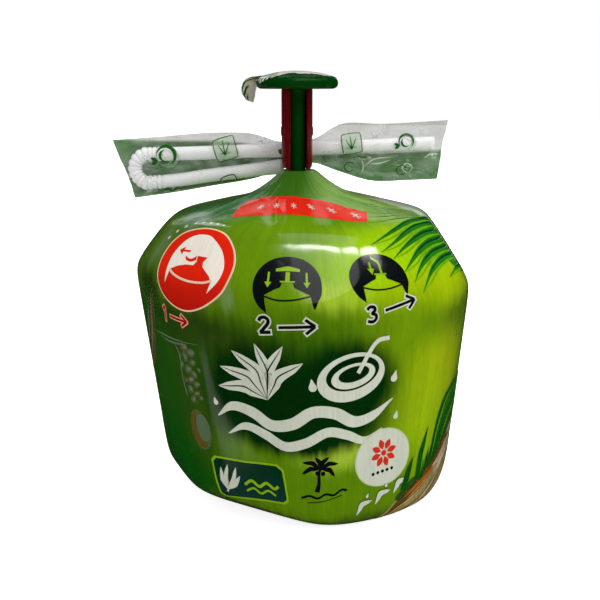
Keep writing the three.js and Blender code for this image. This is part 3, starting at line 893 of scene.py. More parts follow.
# %% Inks
def ink(name, paint, second=None, fade=(0, 100), mottle=0.16, opacity=1.0):
    """An ink for the film. The fade says between which heights of the sheet, in mm, the colours change."""
    material, tree, shader = new_material(name + "_ink", **FILM_GLOSS, Alpha=opacity)
    flat_map = add_node(tree, "UVMap", uv_map="sleeve").outputs["UV"]
    level = add_node(tree, "SeparateXYZ", {"Vector": flat_map}).outputs["Y"]
    rise = remap(tree, level, (fade[0] * MM, fade[1] * MM))
    blend = mix_colours(tree, rise, colour(*(second or paint)), colour(*paint))
    fibrous = use_group(tree, fibres, {"Color": blend, "Sheet": flat_map, "Amount": mottle})
    set_sockets(tree, shader, {"Base Color": fibrous.outputs["Color"]})
    add_relief(tree, shader)
    return material


RED_INK = ink("red", (230, 36, 12), (170, 8, 3), (70, 88))
BAND_INK = ink("band", (232, 40, 22))
CREAM_INK = ink("cream", (246, 238, 224))
WHITE_INK = ink("white", (206, 210, 192), mottle=0.22)
PINK_INK = ink("pink", (226, 168, 140))
BLACK_INK = ink("black", (10, 15, 16))
LIME_INK = ink("lime", (140, 180, 20))
DEEP_INK = ink("deep_green", (2, 48, 22), (20, 58, 50), (8, 24))
FROND_INK = ink("frond", (32, 112, 22), (36, 124, 10), (84, 104), mottle=0.6)
GRASS_INK = ink("grass", (44, 112, 12), (8, 72, 8), (14, 44), mottle=0.6)
HUSK_INK = ink("husk", (172, 146, 112), (154, 140, 92), (0, 16), mottle=1.1)
RUST_INK = ink("rust", (126, 62, 16), (98, 70, 20), (4, 22), mottle=0.8)
print("inks:", [item.name for item in bpy.data.materials if item.name.endswith("ink")])

# %% [markdown]
# A red band lies across the front of the roof and carries six small snow crystals. Each crystal is three
# crossed strokes.

# %% Red band
art = bmesh.new()
BAND, CRYSTAL = range(2)
LEFT_END = [(-40, 113), (-49, 121.5), (-54, 129)]
UPPER_EDGE = [(-45, 134.2), (-24, 134.9), (0, 134.7), (26, 130), (35, 122.4), (42.2, 118)]
LOWER_EDGE = [(32, 110.1), (23, 112), (11, 115.4), (-2, 118.2), (-16, 118.2), (-30, 116.2)]
CRYSTALS = [(-32, 124.5), (-19, 126.3), (-5, 126.6), (8, 125.2), (20, 121.5), (31, 116)]
CRYSTAL_SIZE = 2.3

patch(art, [*smooth_path(LEFT_END, steps=4), *smooth_path(UPPER_EDGE), *smooth_path(LOWER_EDGE)], BAND)
for middle in CRYSTALS:
    for arm in range(3):
        turn = math.radians(60 * arm + 15)
        reach = Vector((math.cos(turn), math.sin(turn) * 1.25)) * CRYSTAL_SIZE
        stroke(art, [Vector(middle) - reach, Vector(middle) + reach], CRYSTAL_SIZE * 0.3, CRYSTAL, 1)
wrap_print("red_band", art, [BAND_INK, WHITE_INK])

# %% [markdown]
# Three small pictures show how to drink it: take the collar off, press the plunger down, put the straw
# in. The first is a red egg with a pale sky over a red hill, which is the coconut with its neck. A dotted
# line runs over it. The red egg is the pale one again, a little smaller, so a thin pale rim is left.

# %% First step
art = bmesh.new()
RED, RIM, SKY, DOTS = range(4)
EGG = [(-48.2, 103.8), (-39.8, 104), (-32, 102), (-26.8, 98), (-24.4, 93.6), (-24.2, 88.8), (-26, 83.4),
       (-30, 79.5), (-35.2, 76), (-40.8, 74.3), (-47.2, 75.2), (-53.6, 78), (-57.8, 82), (-60.2, 86.2),
       (-61.8, 90.8), (-61.2, 96.2), (-56.8, 101)]
EGG_RIM = 0.962
SKY_OUTSIDE = [(-52.6, 82.4), (-54.8, 87.2), (-55.8, 92), (-54.2, 96.5), (-51, 99.5), (-46.4, 101),
               (-40.2, 101), (-35, 98.8), (-30.8, 95.8), (-28.5, 92.4), (-27.8, 88.8),
               (-29, 85.2), (-32.4, 81.6)]
HILL_TOP = [(-31.2, 85.2), (-32.6, 87), (-36.8, 89.8), (-37.4, 91.4), (-36.2, 93.2), (-41.6, 93.4),
            (-40.8, 91.4), (-41.6, 90), (-45.4, 89.9), (-49.4, 89), (-52.6, 87.4)]
patch(art, EGG, RIM, 0, smooth=True)
patch(art, resized(EGG, EGG_RIM), RED, 1, smooth=True)
patch(art, [*smooth_path(SKY_OUTSIDE, steps=4), *HILL_TOP], SKY, 2)
strokes(art, [
    ([(-53.2, 87.2), (-48.6, 85.6), (-41.4, 84.5), (-34.8, 84.6), (-31, 85.6)], 0.75, RIM, 4),
    ([(-41.6, 92.6), (-43.8, 91.6), (-46.4, 91.8), (-47.6, 92.6)], [1.6, 1.1, 0.9, 0.7], RED, 3),
    ([(-46.6, 94.6), (-51.2, 94.4)], 0.75, RED, 3),
])
patch(art, [(-50.6, 95.9), (-53.2, 94.3), (-50.6, 92.9)], RED, 3)
DOTTED_ARC = [(-65.5, 96.5), (-61, 101.6), (-54.5, 105.4), (-47, 107), (-39.5, 106.8), (-33, 105.4)]
path = smooth_path(DOTTED_ARC, steps=5)
for start in range(0, len(path) - 2, 3):
    stroke(art, path[start:start + 2], 1.0, DOTS)
wrap_print("step_one", art, [RED_INK, ink("rim", (240, 206, 172)), CREAM_INK, WHITE_INK])

# %% [markdown]
# The other two pictures are black discs that stand open at the foot round a green coconut. Both have the
# same outline, drawn once in a square of its own and then placed.

# %% Tools for the black discs
DISC, DRAWN, PALE = range(3)
OPEN_DISC = [
    (-0.62, -1.02), (-0.9, -0.72), (-1.06, -0.3), (-1.06, 0.2), (-0.86, 0.62), (-0.5, 0.9), (0, 1),
    (0.5, 0.9), (0.86, 0.62), (1.06, 0.2), (1.06, -0.3), (0.94, -0.6), (0.82, -0.86), (0.74, -0.5),
    (0.72, -0.38),
]
HILL = [(0.4, -0.2), (0.22, -0.1), (0.17, 0.08), (-0.17, 0.08), (-0.22, -0.1), (-0.42, -0.2), (-0.7, -0.38),
        (-0.68, -0.6)]
DISC_FOOT = [(-0.72, -0.42), (-0.3, -0.54), (0.2, -0.53), (0.74, -0.4)]
NECK_LINE = [(-0.24, 0.1), (0.24, 0.1)]


def on_picture(middle, size, points):
    return [(middle[0] + u * size[0], middle[1] + v * size[1]) for u, v in points]


def step_picture(art, middle, size):
    patch(art, on_picture(middle, size, [*smooth_path(OPEN_DISC, steps=4), *HILL]), DISC)
    stroke(art, on_picture(middle, size, DISC_FOOT), 0.5, DISC)
    stroke(art, on_picture(middle, size, NECK_LINE), 0.5, DRAWN, 1)


def arrow(art, ends, width, ink, level):
    tail, tip = (Vector(end) for end in ends)
    along = (tip - tail).normalized()
    side = Vector((-along.y, along.x)) * width * 1.7
    neck = tip - along * width * 2.6
    stroke(art, [tail, neck], width, ink, level)
    patch(art, [neck + side, tip, neck - side], ink, level)


print("outline of a disc:", len(OPEN_DISC) + len(HILL), "points")

# %% [markdown]
# Plain numerals and arrows stand beside the pictures and count them. Each is drawn twice, first a little
# wider in a pale ink, which leaves the thin rim that such marks have on a bright ground.

# %% Second and third step
NUMERALS = {
    1: [(-0.28, 0.3), (0.0, 0.5), (0.0, -0.5)],
    2: [(-0.3, 0.28), (-0.16, 0.46), (0.08, 0.49), (0.27, 0.34), (0.24, 0.1), (-0.02, -0.18), (-0.3, -0.45)],
    3: [(-0.28, 0.36), (-0.06, 0.49), (0.2, 0.42), (0.24, 0.2), (0.04, 0.05), (0.28, -0.1), (0.27, -0.36),
        (0.02, -0.5), (-0.3, -0.4)],
}


def outlined(art, points, width, middle, size, turn, rim=1.0):
    """A stroke with a pale rim round it, also at its ends."""
    points = placed(points, middle, size, turn)
    longer = [Vector(point) for point in points]
    for end, inner in ((0, 1), (-1, -2)):
        longer[end] = longer[end] + (Vector(points[end]) - Vector(points[inner])).normalized() * rim / 2
    stroke(art, longer, width + rim, PALE)
    stroke(art, points, width, DISC, 1)


art = bmesh.new()
PRESS, PRESS_SIZE = (-5.6, 86.6), (10.4, 9.5)
INSERT, INSERT_SIZE = (26.4, 88.0), (10.7, 7.8)
step_picture(art, PRESS, PRESS_SIZE)
for points, width in (([(0, 0.1), (0, 0.44)], 1.5), ([(-0.4, 0.5), (0, 0.56), (0.4, 0.5)], [0.9, 1.7, 0.9])):
    stroke(art, on_picture(PRESS, PRESS_SIZE, points), width, DRAWN, 1)
for side in (-0.62, 0.62):
    arrow(art, on_picture(PRESS, PRESS_SIZE, [(side, 0.42), (side, -0.12)]), 0.7, DRAWN, 1)
step_picture(art, INSERT, INSERT_SIZE)
arrow(art, on_picture(INSERT, INSERT_SIZE, [(-0.3, 0.62), (-0.3, 0.08)]), 0.8, DRAWN, 1)
INSERTED = on_picture(INSERT, INSERT_SIZE, [(0.06, 0.14), (0.06, 0.6), (0.02, 0.66)])
stroke(art, INSERTED, 0.9, DRAWN, 1, steps=2)
stroke(art, on_picture(INSERT, INSERT_SIZE, [(0.05, 0.62), (-0.2, 0.84)]), 0.9, DRAWN, 1)
outlined(art, NUMERALS[2], 1.15, (-13.1, 73.1), 5.4, 4)
outlined(art, [(-0.32, -0.44), (0.36, -0.44)], 1.15, (-13.1, 73.1), 5.4, 4)
outlined(art, NUMERALS[3], 1.1, (21.6, 76.1), 5.2, 8)
for middle, turn in (((-2.4, 72.7), 2), ((32.4, 78.2), 12)):
    outlined(art, [(-0.52, 0), (0.42, 0)], 1.0, middle, 11.5, turn)
    for side in (-1, 1):
        outlined(art, [(0.22, 0.2 * side), (0.48, 0)], 1.0, middle, 11.5, turn)
wrap_print("steps_two_and_three", art, [BLACK_INK, LIME_INK, WHITE_INK])

# %% [markdown]
# The first picture's numeral and arrow are smaller, in red with a pink rim, and sit at the left under it.

# %% First numeral
art = bmesh.new()
outlined(art, NUMERALS[1], 1.0, (-54.2, 71.4), 5.0, -8, rim=0.8)
outlined(art, [(-0.5, 0), (0.4, 0)], 0.8, (-45.6, 71.0), 9.4, -4, rim=0.8)
for side in (-1, 1):
    outlined(art, [(0.2, 0.2 * side), (0.46, 0)], 0.8, (-45.6, 71.0), 9.4, -4, rim=0.8)
wrap_print("first_mark", art, [RED_INK, RED_INK, PINK_INK])

# %% [markdown]
# The large white motif stands on a dark glow in the middle of the front. It shows what the film holds: a
# cut coconut, palm leaves and two waves of water with drops. Its strokes are bold, to be read from afar.

# %% Main motif
art = bmesh.new()
LIGHT, DARK = range(2)
NUT_TURN = 10
NUT_RINGS = [
    ((15.5, 55.2), (12.2, 8.2), LIGHT), ((15.9, 56.4), (9.6, 5.6), DARK),
    ((16, 55.7), (8, 4.2), LIGHT), ((16.1, 56.3), (5.6, 2.6), DARK),
]
PALM_FOOT = (-13.5, 47.6)
PALM_LEAVES = [
    ((-31.5, 50.4), -0.12), ((-30.2, 57.4), -0.14), ((-25.4, 63.4), -0.16), ((-17, 66.6), -0.12),
    ((-7.4, 66.2), 0.12), ((-1, 60.8), 0.14),
]
UPPER_WAVE = [(-33, 39.6), (-27, 43.6), (-19.5, 42.2), (-12.6, 38.4), (-5, 39.8), (2, 44.2), (9.6, 43.4),
              (16.6, 39.4), (24, 40.6), (31.6, 45.8)]
LOWER_WAVE = [(-29.5, 33.4), (-22.5, 36.8), (-15, 34.6), (-8, 31.4), (-0.6, 33.4), (7, 37), (14.2, 35),
              (21, 32), (28, 35.4)]
DROPS = [((2.0, 53.0), 2.1, 8), ((-33.4, 44.4), 1.4, 14), ((31.6, 53.2), 2.0, -14), ((33.4, 39.2), 1.5, -10)]

for level, (middle, radii, tone) in enumerate(NUT_RINGS):
    oval(art, middle, radii, tone, level, turn=NUT_TURN)
stroke(art, [(17.5, 56.5), (23.5, 66.2), (28.6, 67.6)], 1.5, LIGHT, 4, steps=8)
for tip, bend in PALM_LEAVES:
    leaf(art, PALM_FOOT, tip, 4.4, LIGHT, 0, bend)
    leaf(art, PALM_FOOT, tip, 0.5, DARK, 1, bend)
stroke(art, UPPER_WAVE, [0.4, 3.2, 4, 4, 4, 4, 4, 4, 3.4, 0.4], LIGHT)
stroke(art, LOWER_WAVE, [0.4, 2.8, 3.4, 3.4, 3.4, 3.4, 3.2, 2.6, 0.4], LIGHT)
for middle, size, turn in DROPS:
    drop(art, middle, size, LIGHT, 0, turn)
wrap_print("main_motif", art, [WHITE_INK, ink("glow", (0, 34, 5))])

# %% [markdown]
# Round the foot of the front stand smaller marks. The first is a dark plate with a rim of lime, on which
# a plant grows beside water. The rim is the same outline, a little larger, under the plate.

# %% Leaf plate
art = bmesh.new()
LIME, PLATE, PLANT = range(3)
PLATE_OUTLINE = [
    (-37.6, 22.2), (-36.2, 23.6), (-24, 22.9), (-11.8, 23.5), (-9.6, 22), (-8.8, 16.6), (-8.2, 11.6),
    (-9.6, 10.2), (-21.5, 9.4), (-34.4, 8.4), (-36, 9.8), (-37, 16),
]
PLANT_FOOT = (-32.6, 11.8)
PLANT_LEAVES = [((-34.6, 20.4), 0.1), ((-31.6, 21.6), 0.08), ((-28.2, 20.8), -0.08), ((-26.8, 17.6), -0.1)]
patch(art, resized(PLATE_OUTLINE, (1.055, 1.11)), LIME)
patch(art, PLATE_OUTLINE, PLATE, 1)
for tip, bend in PLANT_LEAVES:
    leaf(art, PLANT_FOOT, tip, 1.9, PLANT, 2, bend)
strokes(art, [
    ([(-33, 10.8), (-32.2, 12.6)], 0.8, PLANT, 2),
    ([(-25, 14.6), (-22, 16.4), (-19, 14.6), (-16, 16.4), (-13, 14.8), (-11.2, 16)], 1.1, LIME, 2),
    ([(-24.4, 12.2), (-21.4, 13.6), (-18.4, 12), (-15.4, 13.6), (-12.4, 12.2)], 0.8, LIME, 2),
])
wrap_print("leaf_plate", art, [LIME_INK, DEEP_INK, WHITE_INK])

# %% [markdown]
# Beside the plate stands a black palm on a strip of sand, with two nuts under its crown.

# %% Palm mark
art = bmesh.new()
CROWN = (4.5, 24.2)
CROWN_LEAVES = [
    ((-2.2, 22.2), -0.16), ((-2, 26.4), -0.16), ((2.6, 28.4), -0.14), ((7.6, 28.2), 0.14),
    ((11, 25.2), 0.16), ((9.8, 20.8), 0.18),
]
stroke(art, [(3.2, 15.8), (3.9, 19), (3.9, 22.4), (4.6, 24.4)], [1.9, 1.2, 1, 0.9], 0)
for tip, bend in CROWN_LEAVES:
    leaf(art, CROWN, tip, 1.7, 0, 0, bend)
for nut in ((3.4, 22.7), (5.4, 22.4)):
    oval(art, nut, (0.8, 0.8), 0)
SAND = [(-2.6, 13.4), (0.4, 14.4), (3.4, 13.5), (6.4, 14.7), (9.4, 13.9), (12.4, 15.2), (14.6, 14.6)]
stroke(art, SAND, 0.8, 0)
stroke(art, [(-0.4, 11.8), (6, 12.2), (12.6, 13.2)], 0.3, 0)
wrap_print("palm_mark", art, [BLACK_INK])

# %% [markdown]
# At the right a white disc carries a red flower of eight petals over a row of dots.

# %% White disc
art = bmesh.new()
WHITE_PART, DISC_RING, PETAL, DOT = range(4)
DISC_MIDDLE, FLOWER = (29.2, 24.3), (29.4, 26)
PETALS, DISC_DOTS = 8, 5
oval(art, DISC_MIDDLE, (11.7, 10.9), DISC_RING, 0, turn=12, segments=56)
oval(art, DISC_MIDDLE, (11.2, 10.4), WHITE_PART, 1, turn=12, segments=56)
for petal in range(PETALS):
    turn = 360 / PETALS * petal + 20
    leaf(art, at_angle(FLOWER, 1.5, turn), at_angle(FLOWER, 5.4, turn), 2.4, PETAL, 2)
oval(art, FLOWER, (1.1, 1.1), PETAL, 2)
for dot in range(DISC_DOTS):
    oval(art, (25.4 + 2 * dot, 18.4 + 0.35 * dot), (0.65, 0.65), DOT, 2, segments=10)
wrap_print("white_disc", art, [
    WHITE_INK, ink("pale_lime", (190, 206, 150)), ink("flower", (206, 48, 30)), BLACK_INK])

# %% [markdown]
# The right side of the print shows where the coconut grows. Palm fronds reach over the shoulder: a dense
# middle with a few long leaflets in front. Each leaflet is a dark stroke with a shade along its upper edge
# and light along its lower one. Behind them pale rays fan out over the roof, every second one darker.

# %% Palm fronds
art = bmesh.new()
FROND, LIT, PALE_RAY, DEEP_RAY, SHADE = range(5)
DENSE = [(64, 104.5), (70, 106.8), (82, 104.4), (94, 99.5), (104, 92), (96, 85.5), (86, 81.4), (76, 82.6),
         (66, 85.4), (62.5, 93)]
LEAFLETS = [
    ([(74, 104.9), (62, 106.3), (52.8, 106.2), (38, 102.8), (26.2, 98.8)], 2.6),
    ([(72, 102.6), (60.6, 103.7), (51, 103), (40.6, 100), (30, 96.2)], 2.6),
    ([(70, 99.4), (59.4, 100.3), (51.6, 99.5), (43, 97.2), (35, 93.8)], 2.5),
    ([(69, 96.4), (58, 96.7), (50.4, 95.1), (44, 92.3), (37.4, 88.6)], 2.7),
    ([(69.6, 93.3), (58.6, 93.4), (51.6, 91.7), (45.8, 88.9), (40.4, 84.8)], 2.5),
    ([(72, 90), (61.4, 90.3), (54.2, 88.6), (48.4, 85.6), (42.2, 80.8)], 2.4),
    ([(84, 83.2), (70, 85.4), (64.5, 85.2), (58.6, 83.4)], 1.8),
]
LIT_GAP = 0.62           # from a leaflet's middle down to its lit edge, in its widths
INNER_LINES, RAYS = 10, 15

patch(art, DENSE, FROND, 0, smooth=True)
for path, width in LEAFLETS:
    stroke(art, path, [1.2 * width, width, 0.85 * width, 0.42 * width, 0.1], FROND, 1)
    stroke(art, [(u, v + 0.35) for u, v in path[:-1]], [0.9, 0.8, 0.5, 0.1], SHADE, 2)
    lower = [(u + 0.8, v - LIT_GAP * width) for u, v in path[:-1]] + [path[-1]]
    stroke(art, lower, [0.2, 0.9, 0.8, 0.5, 0.05], LIT, 2)
for lift in np.linspace(84, 99, INNER_LINES):
    tip = (102, 92 + 0.25 * (lift - 92))
    stroke(art, [(65, lift + 0.6), (78, lift + 1.2), tip], [0.1, 0.6, 0.1], LIT, 2)
    stroke(art, [(68, lift - 0.4), (82, lift + 0.3), tip], [0.1, 0.6, 0.1], SHADE, 2)
for ray in range(RAYS):
    share = ray / (RAYS - 1)
    foot = (70 + 10 * share, 106.4 + 5 * share)
    middle = (52 + 7 * share, 108.6 + 15 * share)
    tip = (29 + 24 * share ** 0.7, 107 + 33 * share)
    stroke(art, [foot, middle, tip], [0.9, 0.75 + 0.5 * share, 0.1], DEEP_RAY if ray % 2 else PALE_RAY)
wrap_print("palm_fronds", art, [
    FROND_INK, ink("young_frond", (104, 168, 14), mottle=0.5),
    ink("pale_ray", (168, 204, 104), opacity=0.6), ink("deep_ray", (44, 100, 34), opacity=0.6),
    ink("frond_shade", (8, 66, 26), mottle=0.5)])

# %% [markdown]
# Below the fronds lies the brown husk of the palm's foot, with grass behind it. The husk is one pale patch.
# Broad soft strokes over it give it its form, thin ones its fibres, and its upper edge is rusty.

# %% Husk
art = bmesh.new()
HUSK, RUST, DARK_HUSK, PALE_HUSK, GRASS, OLIVE, ORANGE, YOUNG, DEEP_GRASS, ROOT_SHADE = range(10)
HUSK_EDGE = [(28, -2), (32.8, 2), (35.8, 5.8), (40.8, 9.5), (43.8, 12.5), (51.2, 16), (57, 17.2),
             (64.2, 18.5), (72.2, 22), (77.8, 24), (82, 28.2), (90, 31)]
HUSK_END = [(97, 30), (102.5, 25), (106, 17), (107.5, 8), (108, -6), (80, -9), (50, -9), (30, -6)]
EDGE_WIDTHS = [0.4, 1.6, 2.4, 3.2, 3.4, 3.2, 3, 2.6, 2.2, 1.8, 1.4, 0.4]
BROAD_FIBRES = [
    ([(38, 1.5), (44, 6.6), (52, 10.6), (61, 12.8)], 2.2, OLIVE),
    ([(35, -2), (46, 3.4), (58, 8), (68, 9.6)], 2.6, OLIVE),
    ([(58, 14.2), (66, 14.4), (74, 18), (84, 22)], 2.8, PALE_HUSK),
    ([(62, 10), (72, 12.6), (84, 17)], 3, PALE_HUSK),
    ([(74, 21), (82, 24), (96, 29)], 2.6, PALE_HUSK),
    ([(44, 0.6), (54, 5.4), (64, 7)], 1.4, PALE_HUSK),
    ([(40, 7.2), (48, 11.8), (58, 14)], 1.2, ORANGE),
    ([(66, 5), (78, 9.6), (92, 15)], 2.4, OLIVE),
]
THIN_FIBRES = [
    ((31, 0), (60, 13.6), 0.5, DARK_HUSK), ((36, -1), (66, 9.8), 0.7, DARK_HUSK),
    ((46, -2), (80, 10.8), 0.6, DARK_HUSK), ((60, 12), (92, 25.4), 0.7, DARK_HUSK),
    ((66, 8), (98, 19), 0.6, DARK_HUSK), ((40, 3.4), (62, 13), 0.4, ORANGE),
    ((34, 0.6), (56, 11.6), 0.35, PALE_HUSK), ((52, 8), (80, 19.4), 0.4, PALE_HUSK),
    ((72, 12), (100, 22), 0.4, PALE_HUSK), ((30, -4), (54, 4.4), 0.6, DARK_HUSK),
    ((74, 20), (96, 28), 0.5, DARK_HUSK), ((68, 16.4), (88, 25), 0.35, ORANGE),
]
patch(art, [*smooth_path(HUSK_EDGE, steps=3), *HUSK_END], HUSK)
stroke(art, [(u + 1.2, v - 1.5) for u, v in HUSK_EDGE], EDGE_WIDTHS, RUST, 1)
stroke(art, [(u + 2.8, v - 3.4) for u, v in HUSK_EDGE[1:]], [0.4, 1.2, 1.4, 1.2, 1.4, 1.2, 1, 0.6], ORANGE, 1)
for path, width, tone in BROAD_FIBRES:
    stroke(art, path, [0.1, width, width * 0.8, 0.1], tone, 2)
for start, end, width, tone in THIN_FIBRES:
    middle = ((start[0] + end[0]) / 2, (start[1] + end[1]) / 2 + 1)
    stroke(art, [start, middle, end], [0.1, width, 0.1], tone, 3)
print("fibres on the husk:", len(BROAD_FIBRES) + len(THIN_FIBRES))

# %% [markdown]
# The grass bends over the husk in broad blades. A filled mass keeps the ground from showing between them,
# and each blade has a young green light beside it. Three small shadows lie where the blades meet the husk.

# %% Grass
GRASS_MASS = [
    (50.8, 16), (53.2, 21), (54.8, 25), (56.6, 31), (58.6, 35), (62.8, 39), (70.2, 41), (80, 42.4),
    (90, 41.4), (99, 36), (92, 30.8), (82, 27.6), (77, 23.4), (70, 20.6), (62, 17.6),
]
patch(art, GRASS_MASS, GRASS, 4, smooth=True)
strokes(art, [
    ([(53.4, 17.4), (55.4, 24.6), (58.4, 31.6), (63.6, 37.4), (72, 40.4), (84, 41.4)],
     [1.2, 1.8, 1.8, 1.6, 1, 0.1], DEEP_GRASS, 5),
    ([(55.4, 19), (57.6, 26.6), (61, 32.4), (65.4, 37), (74, 40)], [0.1, 1.1, 1.3, 0.9, 0.1], YOUNG, 6),
    ([(58.6, 18), (61.4, 24.4), (66.4, 29), (73, 33), (84, 36.4)], [2.2, 2.8, 2.6, 1.8, 0.2], DEEP_GRASS, 5),
    ([(63, 19.6), (68, 25.4), (76, 30.6), (88, 34.4)], [0.1, 0.9, 0.9, 0.1], YOUNG, 6),
    ([(64, 18.6), (71, 23), (78, 27), (90, 31.4)], [1.2, 2.4, 2, 0.2], DEEP_GRASS, 5),
    ([(46.6, 13.6), (47.2, 18.6), (47.4, 24), (49.9, 32.6)], [3.4, 3.9, 2.9, 0.1], DEEP_GRASS, 5),
    ([(47.8, 16), (48.6, 22.4), (49.6, 29)], [0.1, 0.9, 0.1], YOUNG, 6),
    ([(39.4, 10.4), (40.6, 15), (41.8, 19.2), (43, 23)], [2.2, 2.6, 1.8, 0.1], DEEP_GRASS, 5),
    ([(50.6, 16), (51.2, 19.6), (52.6, 24)], [2.2, 1.6, 0.1], GRASS, 5),
])
for middle, size in (((43.4, 12.4), (3.4, 1.8)), ((38.8, 8.6), (2.8, 1.5)), ((49, 15), (3, 1.4))):
    oval(art, middle, size, ROOT_SHADE, 4, turn=38)
wrap_print("husk_and_grass", art, [
    HUSK_INK, RUST_INK, ink("dark_husk", (78, 58, 24)), ink("pale_husk", (206, 184, 156), mottle=0.8),
    GRASS_INK, ink("olive_husk", (158, 146, 70), mottle=0.9),
    ink("orange_husk", (172, 96, 26), mottle=0.9), ink("young_grass", (104, 168, 24)), 
    ink("deep_grass", (12, 82, 6), mottle=0.5), ink("root_shade", (28, 74, 30), opacity=0.7)])

# %% [markdown]
# A flourish of white leaves and drops rises along the husk's edge. The same shapes, a little larger and in
# a dark green, lie under it as its shade.

# %% Flourish
art = bmesh.new()
LEAF_WHITE, LEAF_SHADE = range(2)
FLOURISH = [((19.2, 3.6), (25.6, 8.4)), ((27.2, 6.6), (33.6, 11.4)), ((35.2, 10), (41.8, 15.2))]
for lift, more, tone in ((0, 0.9, LEAF_SHADE), (1, 0, LEAF_WHITE)):
    for foot, tip in FLOURISH:
        leaf(art, foot, tip, 2.3 + more, tone, lift, bend=0.22)
    for middle in ((23.4, 10.4), (31.6, 13.4)):
        drop(art, middle, 1.0 + more / 2, tone, lift, -20)
wrap_print("flourish", art, [WHITE_INK, ink("shade", (34, 78, 24))])

# %% [markdown]
# At the left a half coconut splashes down through the green, in faint inks: a column of drops with a light
# in each, the half shell under it, thin lines of spray, and a bent trunk further round.

# %% Splash at the left
art = bmesh.new()
DRIFT, MIST, SHELL, FLESH, SPRAY, TRUNK, TRUNK_LIT = range(7)
# Middle, radii, and ink
SPLASH_DROPS = [
    (-44.4, 61.6, 2.2, 1.7, DRIFT), (-41.6, 60.2, 2, 1.5, MIST), (-44.6, 58.2, 1.3, 1.9, MIST),
    (-41.4, 56.8, 1.7, 1.4, DRIFT), (-43.8, 54.2, 2, 1.5, MIST), (-41.2, 52.8, 1.2, 1.6, MIST),
    (-43.2, 50.6, 2.3, 1.4, DRIFT), (-40.6, 49.4, 1.6, 1.1, MIST), (-44, 47.2, 1.6, 1.5, MIST),
    (-41.4, 46, 2, 1.2, DRIFT), (-43.2, 43.6, 1.4, 1.4, MIST), (-39.4, 44.8, 0.9, 0.9, MIST),
    (-46.6, 55.4, 0.9, 1.1, MIST), (-46.2, 49.8, 0.8, 1.2, DRIFT), (-38.8, 54.6, 0.7, 0.9, MIST),
]
HALF_SHELL = [((-41.8, 33.0), (4.8, 7.2), MIST), ((-42.2, 33.0), (4.1, 6.5), SHELL),
              ((-40.2, 34), (3.1, 5), FLESH)]
SPRAY_LINES = [
    [(-68, 62.6), (-60, 63), (-52, 63.2), (-38, 63.6)], [(-64, 62), (-55, 61.6), (-44, 62.6)],
    [(-52, 63), (-48.4, 59.5), (-47.2, 54)], [(-47, 60), (-48, 52), (-46.4, 44)],
]
for u, v, wide, high, tone in SPLASH_DROPS:
    oval(art, (u, v), (wide, high), tone, 0, turn=20)
    oval(art, (u + 0.4, v + 0.2), (wide * 0.55, high * 0.5), SPRAY, 1, turn=20)
for level, (middle, radii, tone) in enumerate(HALF_SHELL, start=1):
    oval(art, middle, radii, tone, level, turn=8)
for path in SPRAY_LINES:
    stroke(art, path, [0.1, 0.8, 0.6, 0.1][:len(path)], SPRAY)
strokes(art, [
    ([(-64, 79), (-67, 72), (-71, 62), (-76, 52), (-84, 44)], [0.6, 4.4, 6, 5.2, 1], TRUNK, 0),
    ([(-67, 76), (-69.6, 68), (-74, 58), (-80, 49)], [0.2, 1.4, 2.2, 0.4], TRUNK_LIT, 1),
    ([(-70, 75), (-74, 66), (-78, 58), (-86, 50)], [0.2, 1, 1.4, 0.2], SPRAY, 1),
])
wrap_print("splash", art, [
    ink("drift", (104, 104, 60), opacity=0.5), ink("mist", (108, 122, 86), opacity=0.5),
    ink("shell", (104, 88, 30), opacity=0.85), ink("flesh", (92, 116, 84), opacity=0.85),
    ink("spray", (134, 148, 122), opacity=0.5), ink("trunk", (92, 86, 48), opacity=0.75),
    ink("trunk_light", (140, 120, 88), opacity=0.7)])

# %% [markdown]
# The plunger and the collar are moulded in plastic. Moulded plastic is a little cloudy in its colour, its
# gloss changes in long flow lines, and it has a fine grain. One group gives all three.

# %% Moulded plastic, as a group
CLOUDS, GRAIN, GRAIN_SHARE = 140.0, 1600.0, 0.25     # per m, per m, height of the grain
FLOW_STRETCHED = (400, 400, 70)                      # per m
GLOSSIEST, DULLEST = 0.16, 0.38                      # roughness

moulded, given, result = open_group(
    "moulded_plastic",
    [("Color", "Color", None), ("Mottle", "Float", 0.2), ("Flow", "Float", 0.5)],
    [("Color", "Color"), ("Roughness", "Float"), ("Height", "Float")],
)
place = add_node(moulded, "TexCoord").outputs["Object"]
swing = remap(moulded, noise(moulded, place, CLOUDS, 3.0), new=(-1.0, 1.0))
flow = noise(moulded, stretched(moulded, place, FLOW_STRETCHED))
light = maths(moulded, "MULTIPLY_ADD", swing, given["Mottle"], 1.0)
lines = maths(moulded, "MULTIPLY", flow, given["Flow"])
set_sockets(moulded, result, {
    "Color": lighten(moulded, given["Color"], light),
    "Roughness": remap(moulded, flow, new=(GLOSSIEST, DULLEST)),
    "Height": maths(moulded, "MULTIPLY_ADD", noise(moulded, place, GRAIN, 1.0), GRAIN_SHARE, lines),
})


def moulded_material(name, paint, mottle=0.2, flow=0.5, depth=0.00008, **surface):
    material, tree, shader = new_material(name, **surface)
    plastic = use_group(tree, moulded, {"Color": colour(*paint), "Mottle": mottle, "Flow": flow}).outputs
    set_sockets(tree, shader, {"Base Color": plastic["Color"], "Roughness": plastic["Roughness"]})
    add_bump(tree, shader, plastic["Height"], depth)
    return material


print("moulded_plastic:", len(moulded.nodes), "nodes")

# %% [markdown]
# The plunger is one piece: a stem, a flare and a domed disc for the palm of the hand. It is a turned
# shape, so its section is drawn once and spun round.

